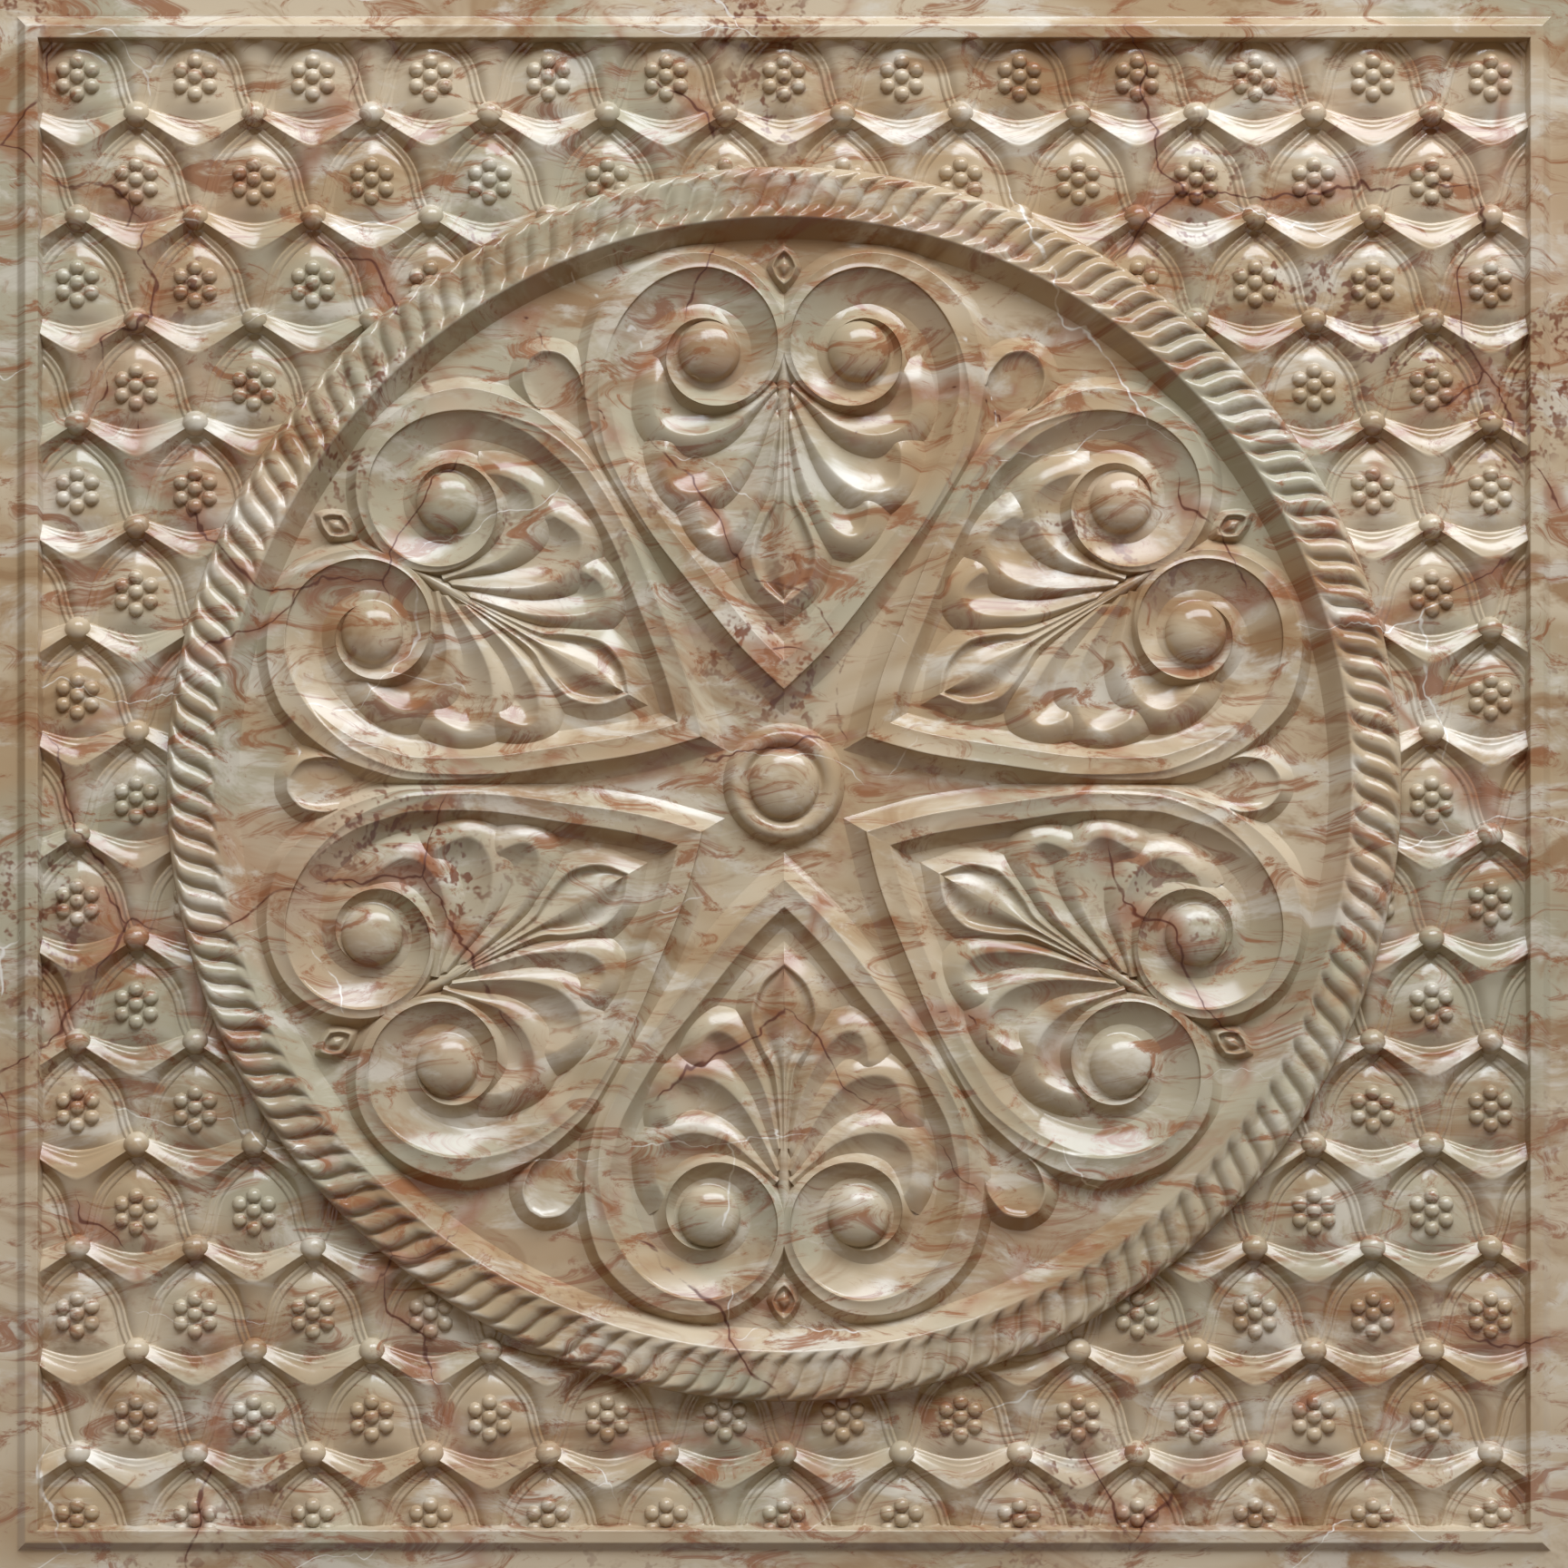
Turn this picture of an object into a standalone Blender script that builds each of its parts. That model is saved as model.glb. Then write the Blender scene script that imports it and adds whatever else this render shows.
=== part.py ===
"""A square carved stone panel: a scale field, a rope ring and a medallion of six palmette hearts.

The back lies on y = 0, the carved face looks along -Y and +Z is up. The origin is the middle of the back.
The face is one height function of x and z, sampled on the crests, edges and feet of the carving. The
triangles between those lines make one closed solid with the sides and the flat back.
"""

import math

import bpy
import numpy as np
from mathutils.geometry import delaunay_2d_cdt

MM = 0.001

# Slab and border moulding
PANEL_WIDTH = 600 * MM
PANEL_HEIGHT = 600 * MM
MARGIN_DEPTH = 22 * MM
MOULDING_RISE = 3 * MM
BORDER_WIDTH = 16.5 * MM
MOULDING_OUTER_SLOPE = 3.5 * MM
MOULDING_TOP = 4.8 * MM
MOULDING_INNER_SLOPE = 0.8 * MM

# Scale field: rows of beads joined by sagging swags, with a rosette in each scale
FIELD_DEPTH = 18 * MM
BEAD_PITCH = 45 * MM
ROW_PITCH = 39.4 * MM
BEAD_RADIUS = 5 * MM
BEAD_BASE_RISE = 1.5 * MM
BEAD_DOME = 5 * MM
BEAD_TOP_SHARE = 0.55
SWAG_TOP_SAG = 2.4 * MM
SWAG_TOP_RISE = 1 * MM
SWAG_CREST_START = 2.4 * MM
SWAG_CREST_SAG = 12 * MM
SWAG_CREST_RISE = 5 * MM
SWAG_SCOOP = 1.2
FLANK_AT_BEAD = 2.5 * MM
FLANK_AT_MIDDLE = 8 * MM
ARCH_TOP_DROP = 9.4 * MM
ARCH_HALF_WIDTH = 16 * MM
ARCH_RUN = 11 * MM
ARCH_CURVE = 0.75
PILLOW_EDGE_RISE = 0.3 * MM
PILLOW_RISE = 2.4 * MM
ROSETTE_DROP = 25 * MM
ROSETTE_RADIUS = 9.1 * MM
ROSETTE_RISE = 2.6 * MM
ROSETTE_CURVE = 3

# Rope ring
RING_RADIUS = 236 * MM
RING_FILLET = 1.4 * MM
ROPE_WIDTH = 19 * MM
RING_WALL_RUN = 7.3 * MM
ROPE_STRANDS = 150
ROPE_LEVEL = 26 * MM
STRAND_RISE = 4 * MM
STRAND_ROUNDNESS = 2.5
STRAND_LEAN = 1.15
STRAND_BEND = 0.5
STRAND_CREST = (0.25, 0.75)
RING_CREST_LEVEL = 29 * MM
ROPE_CREST_SHARE = 0.25

# Medallion
GROUND_DEPTH = 20 * MM
HEARTS = 6
STRAP_RISE = 6.5 * MM
STRAP_BAND_DROP = 0.9 * MM
STRAP_SCOOP = 1.3
VOLUTE_BOSS_RISE = 6.5 * MM
ROLL_RISE = 2.6 * MM
LEAF_RISE = 5 * MM
LEAF_DISH = 2.6 * MM
TIP_LEAF_RISE = 4.5 * MM
SPUR_RISE = 5 * MM
SPUR_FLOOR_RISE = 3 * MM
BUD_RISE = 4 * MM
BOSS_RISE = 9.5 * MM
BOSS_SHOULDER_RISE = 7.6 * MM
BOSS_RING_RISE = 5.5 * MM
BOSS_GROOVE_RISE = 3 * MM

# Points closer than this are one, and the field's points keep a little more than this from its edges
POINT_GAP = 1.3 * MM
EDGE_GAP = 1.25 * POINT_GAP
HALVINGS = 30

# How finely the faces follow the curves, and how finely heights are measured from them
VOLUTE_STEPS = 20
BEAD_SIDES = 6
ROSETTE_SIDES = 6
VOLUTE_BOSS_SIDES = 8
BOSS_SIDES = 18
CURVE_STEPS = 5
FINE_TURN_STEPS = 60

# The sizes of the medallion's carving are shares of its ground's radius
GROUND_RADIUS = RING_RADIUS - RING_FILLET - ROPE_WIDTH - RING_WALL_RUN
ARM = (
    (-0.05, 0.128), (0.0, 0.173), (0.083, 0.255), (0.167, 0.360),
    (0.250, 0.470), (0.317, 0.592), (0.335, 0.658),
)
VOLUTE_CENTRE = (0.137, 0.792)
VOLUTE_RADIUS = 0.152
VOLUTE_END_RADIUS = 0.056
VOLUTE_SPREAD = 0.0185
VOLUTE_FLARE = 0.0467
VOLUTE_COIL = 1.15
VOLUTE_START_ANGLE = 111
VOLUTE_TURN = 337
VOLUTE_BOSS_RADIUS = 0.045
LOBES = (
    (
        (0.013, 0.728), (0.058, 0.688), (0.100, 0.655), (0.158, 0.638),
        (0.210, 0.648), (0.234, 0.680), (0.232, 0.725),
    ),
    (
        (0.013, 0.708), (0.042, 0.645), (0.080, 0.583), (0.125, 0.543),
        (0.175, 0.533), (0.210, 0.555), (0.213, 0.598),
    ),
    (
        (0.010, 0.667), (0.033, 0.570), (0.063, 0.505), (0.092, 0.465),
        (0.122, 0.452), (0.146, 0.468), (0.154, 0.500),
    ),
)
LOBE_SLOPE = 0.040
STEM_SLOPE = 0.014
LIP_WIDTH = 0.013
TIP_LEAF = (
    (0.003, 0.617), (0.017, 0.527), (0.037, 0.487), (0.055, 0.442),
    (0.058, 0.408), (0.040, 0.363), (0.0, 0.328),
)
TIP_LEAF_SLOPE = 0.030
TIP_LEAF_GROOVE = 0.014
TIP_LEAF_GROOVE_RISE = 1.8 * MM
TIP_LEAF_BULGE_RISE = 5 * MM
SPUR = ((0.045, 0.818), (0.050, 0.842), (0.042, 0.882), (0.017, 0.905), (0.0, 0.908))
SPUR_SLOPE = 0.028
SPUR_LIP = 0.007
SPUR_FOOT = 0.750
BUD_CENTRE = 0.947
BUD_HALF_WIDTH = 0.033
BUD_HALF_LENGTH = 0.048
BOSS_FOOT = 0.112
BOSS_CREST = 0.088
BOSS_GROOVE = 0.068
ROLL = ((0.100, 0.862), (0.167, 0.862), (0.217, 0.842), (0.250, 0.800), (0.267, 0.758), (0.275, 0.717))
ROLL_HALF_WIDTH = 0.020

# Where along the strap its section is given, and the widths there as shares of the ground's radius
STRAP_STATIONS = (0.0, 0.24, 0.41, 0.52, 0.62, 0.755, 0.856, 0.934, 1.0)
BAND_OUTSIDE = (0.0, 0.0, 0.018, 0.042, 0.027, 0.0, 0.0, 0.0, 0.0)
SLOPE_OUTSIDE = (0.035, 0.033, 0.023, 0.023, 0.023, 0.018, 0.020, 0.017, 0.014)
BAND_INSIDE = (0.038, 0.034, 0.025, 0.0, 0.0, 0.0, 0.0, 0.0, 0.0)
SLOPE_INSIDE = (0.027, 0.030, 0.033, 0.050, 0.060, 0.055, 0.042, 0.023, 0.010)


def smooth(share):
    """An S-curve from 0 to 1, flat at both ends."""
    share = np.clip(share, 0, 1)
    return share * share * (3 - 2 * share)


def spline(points, steps):
    """A Catmull-Rom curve through the points, with this many steps from each to the next."""
    points = np.asarray(points, float)
    ends = np.vstack([2 * points[0] - points[1], points, 2 * points[-1] - points[-2]])
    before, start, end, after = ends[:-3, None], ends[1:-2, None], ends[2:-1, None], ends[3:, None]
    share = np.arange(steps)[None, :, None] / steps
    curve = start + 0.5 * share * (
        end - before
        + share * (2 * before - 5 * start + 4 * end - after + share * (3 * (start - end) + after - before))
    )
    return np.vstack([curve.reshape(-1, 2), points[-1:]])


def volute_radius(angle):
    """Distance of the strap's crest from the volute's centre, at degrees clockwise from the top."""
    unwound = np.maximum(angle, 0) / VOLUTE_START_ANGLE
    wound = 1 + np.minimum(angle, 0) / VOLUTE_TURN
    coil = VOLUTE_END_RADIUS + (VOLUTE_RADIUS - VOLUTE_END_RADIUS) * wound**VOLUTE_COIL
    return coil + VOLUTE_SPREAD * unwound + VOLUTE_FLARE * unwound**4


def strap_crest(arm_steps, turn_steps):
    """The crest of one half of a heart's strap, from beyond the tip of its V to the end inside the volute."""
    angle = np.linspace(VOLUTE_START_ANGLE, -VOLUTE_TURN, turn_steps + 1)
    radius = volute_radius(angle)
    turn = np.column_stack([
        VOLUTE_CENTRE[0] + radius * np.sin(np.radians(angle)),
        VOLUTE_CENTRE[1] + radius * np.cos(np.radians(angle)),
    ])
    arm = spline(np.vstack([ARM, turn[:1]]), arm_steps)
    return np.vstack([arm[:-1], turn])


def nearest_on(path, points):
    """Distance to the path, the share of its length there, and whether the point is on its right."""
    start, run = path[:-1], np.diff(path, axis=0)
    length = np.hypot(run[:, 0], run[:, 1])
    travelled = np.concatenate([[0], np.cumsum(length)])
    offset = points[:, None] - start[None]
    share = np.clip((offset * run).sum(2) / length**2, 0, 1)
    gap = offset - share[..., None] * run
    distance = np.hypot(gap[..., 0], gap[..., 1])
    best = distance.argmin(1)
    row = np.arange(len(points))
    right = offset[row, best, 0] * run[best, 1] - offset[row, best, 1] * run[best, 0] > 0
    station = (travelled[best] + share[row, best] * length[best]) / travelled[-1]
    return distance[row, best], station, right


def within(outline, points):
    """Whether each point is inside the closed outline."""
    start, end = outline, np.roll(outline, -1, axis=0)
    across, along = points[:, :1], points[:, 1:]
    spans = (start[:, 1] > along) != (end[:, 1] > along)
    rise = np.where(end[:, 1] == start[:, 1], 1, end[:, 1] - start[:, 1])
    meets = start[:, 0] + (along - start[:, 1]) * (end[:, 0] - start[:, 0]) / rise
    return (spans & (across < meets)).sum(1) % 2 == 1


def strap_relief(points):
    """Height of the strap above the ground: a crest with a sloping band beside it and a slope to the foot."""
    distance, station, outside = nearest_on(strap_crest(CURVE_STEPS, FINE_TURN_STEPS), points)
    band = np.where(outside, np.interp(station, STRAP_STATIONS, BAND_OUTSIDE),
                    np.interp(station, STRAP_STATIONS, BAND_INSIDE))
    slope = np.where(outside, np.interp(station, STRAP_STATIONS, SLOPE_OUTSIDE),
                     np.interp(station, STRAP_STATIONS, SLOPE_INSIDE))
    drop = STRAP_BAND_DROP * np.clip(distance / np.maximum(band, 1e-6), 0, 1) * (band > 0)
    fall = np.clip((distance - band) / slope, 0, 1)
    return (STRAP_RISE - drop) * (1 - fall) ** STRAP_SCOOP


def lobe_slope(station):
    """Width of the slope outside a lobe's lip, narrow at the stem and full from the middle on."""
    return STEM_SLOPE + (LOBE_SLOPE - STEM_SLOPE) * smooth(station * 2)


def lobe_relief(lobe, points):
    """Height of a leaf's lobe: a raised lip, a dish inside it and a rounded slope outside."""
    lip = spline(lobe, CURVE_STEPS)
    distance, station, _ = nearest_on(lip, points)
    inside = within(np.vstack([lip, VOLUTE_CENTRE]), points)
    dish = LEAF_RISE - LEAF_DISH * (1 - np.exp(-distance / LIP_WIDTH))
    outer = LEAF_RISE * (1 - np.clip(distance / lobe_slope(station), 0, 1) ** 2)
    return np.where(inside, dish, outer)


def tip_leaf_relief(points):
    """Height of the pointed middle leaf: a lip round a groove, with a long drop-shaped bulge inside."""
    lip = spline(TIP_LEAF, CURVE_STEPS)
    distance, _, _ = nearest_on(lip, points)
    inside = within(np.vstack([lip, lip[::-1] * (-1, 1)]), points)
    levels = (TIP_LEAF_RISE, TIP_LEAF_GROOVE_RISE, TIP_LEAF_BULGE_RISE)
    inner = np.interp(distance, (0, TIP_LEAF_GROOVE, 3 * TIP_LEAF_GROOVE), levels)
    outer = TIP_LEAF_RISE * (1 - np.clip(distance / TIP_LEAF_SLOPE, 0, 1))
    return np.where(inside, inner, outer)


def spur_relief(points):
    """Height of the small loop between two hearts, with points across and along the line between them."""
    lip = spline(SPUR, CURVE_STEPS)
    distance, _, _ = nearest_on(lip, points)
    inside = within(np.vstack([lip, (0, SPUR_FOOT)]), points)
    floor = SPUR_FLOOR_RISE * np.clip((points[:, 1] - SPUR_FOOT) / (SPUR[-1][1] - SPUR_FOOT), 0, 1)
    dish = floor + (SPUR_RISE - floor) * np.exp(-distance / SPUR_LIP)
    outer = SPUR_RISE * (1 - np.clip(distance / SPUR_SLOPE, 0, 1))
    return np.where(inside, dish, outer)


def medallion_relief(across, along):
    """Height above the ground of one half of a heart, with half of the loop beside it."""
    points = np.column_stack([across, along])
    turn = math.pi / HEARTS
    beside = np.column_stack([
        np.abs(across * math.cos(turn) - along * math.sin(turn)),
        across * math.sin(turn) + along * math.cos(turn),
    ])
    height = np.maximum(strap_relief(points), tip_leaf_relief(points))
    for lobe in LOBES:
        height = np.maximum(height, lobe_relief(lobe, points))
    height = np.maximum(height, spur_relief(beside))
    roll, _, _ = nearest_on(spline(ROLL, CURVE_STEPS), points)
    height = np.maximum(height, ROLL_RISE * (1 - np.clip(roll / ROLL_HALF_WIDTH, 0, 1) ** 2))
    boss = np.hypot(across - VOLUTE_CENTRE[0], along - VOLUTE_CENTRE[1]) / VOLUTE_BOSS_RADIUS
    height = np.maximum(height, VOLUTE_BOSS_RISE * np.sqrt(1 - np.clip(boss, 0, 1) ** 2))
    bud = np.hypot(across / BUD_HALF_WIDTH, (along - BUD_CENTRE) / BUD_HALF_LENGTH)
    height = np.maximum(height, BUD_RISE * (1 - np.clip(bud, 0, 1) ** 2))
    centre = np.interp(
        np.hypot(across, along),
        (0, BOSS_GROOVE / 2, BOSS_GROOVE, BOSS_CREST, BOSS_FOOT),
        (BOSS_RISE, BOSS_SHOULDER_RISE, BOSS_GROOVE_RISE, BOSS_RING_RISE, 0),
    )
    return np.maximum(height, centre)


def folded(x, z):
    """The place in one half of a heart, in shares of the ground's radius, that stands for each point."""
    radius, angle = np.hypot(x, z) / GROUND_RADIUS, np.arctan2(x, z)
    turn = 2 * math.pi / HEARTS
    angle = np.abs((angle + turn / 2) % turn - turn / 2)
    return radius * np.sin(angle), radius * np.cos(angle)


def scale_shape(across, down):
    """Height above the field's floor at a distance beside and below the nearest bead of the row above."""
    wave = (1 - np.cos(2 * math.pi * across / BEAD_PITCH)) / 2
    top = SWAG_TOP_SAG * wave
    crest = SWAG_CREST_START + (SWAG_CREST_SAG - SWAG_CREST_START) * wave
    climb = np.clip((down - top) / (crest - top), 0, 1) ** SWAG_SCOOP
    swag = SWAG_TOP_RISE + (SWAG_CREST_RISE - SWAG_TOP_RISE) * climb
    run = FLANK_AT_BEAD + (FLANK_AT_MIDDLE - FLANK_AT_BEAD) * wave
    flank = SWAG_CREST_RISE * (1 - smooth((down - crest) / run))
    depth = np.maximum(down - ARCH_TOP_DROP, 0)
    half_width = ARCH_HALF_WIDTH * (1 - np.exp(-depth / ARCH_RUN)) ** ARCH_CURVE
    share = across / np.maximum(half_width, 1e-6)
    pillow = PILLOW_EDGE_RISE + PILLOW_RISE * (1 - np.clip(share, 0, 1) ** 2) * smooth(depth / ARCH_RUN)
    knob = np.clip(np.hypot(across, down - ROSETTE_DROP) / ROSETTE_RADIUS, 0, 1)
    pillow = pillow + ROSETTE_RISE * (1 - knob**ROSETTE_CURVE)
    return np.where(down < crest, swag, np.where(share < 1, pillow, flank))


def rows():
    """How many rows of beads fit the field's height."""
    return int((PANEL_HEIGHT - 2 * BORDER_WIDTH) // ROW_PITCH)


def row_height(row):
    return (rows() - 1) / 2 * ROW_PITCH - row * ROW_PITCH


def row_shift(row):
    """Rows are staggered: every other row has a bead on the middle line."""
    return (row + 1) % 2 / 2 * BEAD_PITCH


def field_relief(x, z):
    """Height above the field's floor of the scales and the beads between them."""
    row = np.floor((row_height(0) - z) / ROW_PITCH)
    down = row_height(row) - z
    across = np.abs((x - row_shift(row) + BEAD_PITCH / 2) % BEAD_PITCH - BEAD_PITCH / 2)
    beside_next = BEAD_PITCH / 2 - across
    above = down < SWAG_TOP_SAG * (1 - np.cos(2 * math.pi * across / BEAD_PITCH)) / 2
    height = np.where(above, scale_shape(beside_next, down + ROW_PITCH), scale_shape(across, down))
    bead = np.minimum(np.hypot(across, down), np.hypot(beside_next, ROW_PITCH - down)) / BEAD_RADIUS
    dome = BEAD_BASE_RISE + BEAD_DOME * np.sqrt(1 - np.clip(bead, 0, 1) ** 2)
    return np.where(bead < 1, np.maximum(height, dome), height)


def strand_bend(share):
    """How much of its lean a strand has made at a share of the rope's width. It bends like an S."""
    return (1 - STRAND_BEND) * share + STRAND_BEND * ((2 * share - 1) ** 3 + 1) / 2


def rope_phase(angle, share):
    """Where in its strand a point lies, from one groove at 0 to the next at 1."""
    return (angle / (2 * math.pi) * ROPE_STRANDS + STRAND_LEAN * (1 - strand_bend(share))) % 1


def ring_level(x, z, field_level):
    """Level of the ring above the back: a wall up from the ground, the rope and a fall to the field."""
    radius, angle = np.hypot(x, z), np.arctan2(x, z)
    rope_start = GROUND_RADIUS + RING_WALL_RUN
    share = np.clip((radius - rope_start) / ROPE_WIDTH, 0, 1)
    phase = rope_phase(angle, share)
    roundness = 1 - np.abs(2 * phase - 1) ** STRAND_ROUNDNESS
    strand = STRAND_RISE * roundness * np.sqrt(np.sin(math.pi * share).clip(0))
    rope = RING_CREST_LEVEL + (ROPE_LEVEL - RING_CREST_LEVEL) * smooth(share / ROPE_CREST_SHARE) + strand
    wall = GROUND_DEPTH + (RING_CREST_LEVEL - GROUND_DEPTH) * (radius - GROUND_RADIUS) / RING_WALL_RUN
    edge = np.clip((RING_RADIUS - radius) / RING_FILLET, 0, 1)
    outer = field_level + (ROPE_LEVEL - field_level) * edge
    return np.where(radius < rope_start, wall, np.where(share < 1, rope, outer))


def face_level(x, z):
    """Distance of the carved face from the back."""
    inset = np.minimum(PANEL_WIDTH / 2 - np.abs(x), PANEL_HEIGHT / 2 - np.abs(z))
    radius = np.hypot(x, z)
    field = FIELD_DEPTH + field_relief(x, z)
    ring = ring_level(x, z, field)
    ground = GROUND_DEPTH + medallion_relief(*folded(x, z))
    carved = np.where(radius < GROUND_RADIUS, ground, np.where(radius < RING_RADIUS, ring, field))
    wall = BORDER_WIDTH - MOULDING_INNER_SLOPE
    foot = wall - MOULDING_TOP - MOULDING_OUTER_SLOPE
    moulding = MARGIN_DEPTH + MOULDING_RISE * np.clip((inset - foot) / MOULDING_OUTER_SLOPE, 0, 1)
    down = np.clip((inset - wall) / MOULDING_INNER_SLOPE, 0, 1)
    return moulding + (carved - moulding) * down


class Lines:
    """Points of the face and the edges that its triangles have to keep."""

    def __init__(self):
        self.points = np.empty((0, 2))
        self.edges = []

    def place(self, point):
        """The number of this point, or of one already there within the point gap."""
        if len(self.points):
            gap = np.hypot(*(self.points - point).T)
            if gap.min() < POINT_GAP:
                return int(gap.argmin())
        self.points = np.vstack([self.points, point])
        return len(self.points) - 1

    def add(self, points, closed=False):
        numbers = [self.place(point) for point in points]
        ends = numbers[1:] + numbers[:1] if closed else numbers[1:]
        self.edges += [(a, b) for a, b in zip(numbers, ends) if a != b]


def circle(radius, count, turn=0.0, centre=(0.0, 0.0)):
    angle = (np.arange(count) + turn) / count * 2 * math.pi
    return np.column_stack([centre[0] + radius * np.sin(angle), centre[1] + radius * np.cos(angle)])


def rectangle(inset):
    x, z = PANEL_WIDTH / 2 - inset, PANEL_HEIGHT / 2 - inset
    return np.array([(-x, -z), (x, -z), (x, z), (-x, z)])


def in_field(points):
    """Whether each point is inside the border and outside the ring, with the edge gap kept."""
    x = PANEL_WIDTH / 2 - BORDER_WIDTH - EDGE_GAP
    z = PANEL_HEIGHT / 2 - BORDER_WIDTH - EDGE_GAP
    inside = (np.abs(points[:, 0]) <= x) & (np.abs(points[:, 1]) <= z)
    return inside & (np.hypot(*points.T) >= RING_RADIUS + EDGE_GAP)


def in_half_heart(points):
    """Whether each point is between the middle line of a heart and the line between it and the next heart."""
    return (points[:, 0] >= 0) & (points[:, 0] <= points[:, 1] * math.tan(math.pi / HEARTS))


def cut(line, inside):
    """The parts of a line that lie inside, ended where the line crosses the edge."""
    kept = inside(line)
    part = []
    for number, point in enumerate(line):
        if number and kept[number] != kept[number - 1]:
            good, bad = (point, line[number - 1]) if kept[number] else (line[number - 1], point)
            for _ in range(HALVINGS):
                middle = (good + bad) / 2
                good, bad = (middle, bad) if inside(middle[None])[0] else (good, middle)
            part.append(good)
        if kept[number]:
            part.append(point)
        elif part:
            yield np.array(part)
            part = []
    if part:
        yield np.array(part)


def add_border(lines):
    wall = BORDER_WIDTH - MOULDING_INNER_SLOPE
    for inset in (0, wall - MOULDING_TOP - MOULDING_OUTER_SLOPE, wall - MOULDING_TOP, wall, BORDER_WIDTH):
        lines.edges += [
            (len(lines.points) + a, len(lines.points) + b) for a, b in ((0, 1), (1, 2), (2, 3), (3, 0))
        ]
        lines.points = np.vstack([lines.points, rectangle(inset)])


def add_ring(lines):
    rope_start = GROUND_RADIUS + RING_WALL_RUN
    lines.add(circle(GROUND_RADIUS, ROPE_STRANDS // 2), closed=True)
    starts = circle(rope_start, ROPE_STRANDS, -STRAND_LEAN)
    ends = circle(rope_start + ROPE_WIDTH, ROPE_STRANDS)
    lines.add(starts, closed=True)
    lines.add(ends, closed=True)
    lines.add(circle(RING_RADIUS, ROPE_STRANDS), closed=True)
    low, high = STRAND_CREST
    inner = circle(rope_start + low * ROPE_WIDTH, ROPE_STRANDS, 0.5 - STRAND_LEAN * (1 - strand_bend(low)))
    outer = circle(rope_start + high * ROPE_WIDTH, ROPE_STRANDS, 0.5 - STRAND_LEAN * (1 - strand_bend(high)))
    for start, end, first, second in zip(starts, ends, inner, outer):
        lines.add([start, end])
        lines.add([first, second])


def add_scale(lines, x, z):
    """The lines of one bead with the swag to its right and the scale below it."""
    def add(*points, closed=False):
        line = np.array(points + points[:1] if closed else points) + (x, z)
        for part in cut(line, in_field):
            lines.add(part)

    half = BEAD_PITCH / 2
    crest_beside = (SWAG_CREST_START + SWAG_CREST_SAG) / 2
    add(*circle(BEAD_RADIUS, BEAD_SIDES, 0.5).tolist(), closed=True)
    add(*circle(BEAD_RADIUS * BEAD_TOP_SHARE, BEAD_SIDES // 2).tolist(), closed=True)
    add((half / 2, -crest_beside), (half, -SWAG_CREST_SAG), (half * 1.5, -crest_beside))
    add((half, -SWAG_TOP_SAG))
    add((half, -SWAG_CREST_SAG), (half, -SWAG_CREST_SAG - FLANK_AT_MIDDLE), (half, -ROW_PITCH + BEAD_RADIUS))
    add((0, -ARCH_TOP_DROP))
    add(*(circle(ROSETTE_RADIUS, ROSETTE_SIDES) - (0, ROSETTE_DROP)).tolist(), closed=True)
    add((0, -ROSETTE_DROP))


def add_field(lines):
    columns = int(PANEL_WIDTH / 2 // BEAD_PITCH) + 2
    for row in range(-1, rows() + 1):
        for column in range(-columns, columns):
            add_scale(lines, row_shift(row) + column * BEAD_PITCH, row_height(row))


def beside(path, offset):
    """The path moved sideways to its right by an offset of its own at each point."""
    run = np.gradient(path, axis=0)
    run /= np.hypot(*run.T)[:, None]
    return path + np.column_stack([run[:, 1], -run[:, 0]]) * np.asarray(offset)[:, None]


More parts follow.
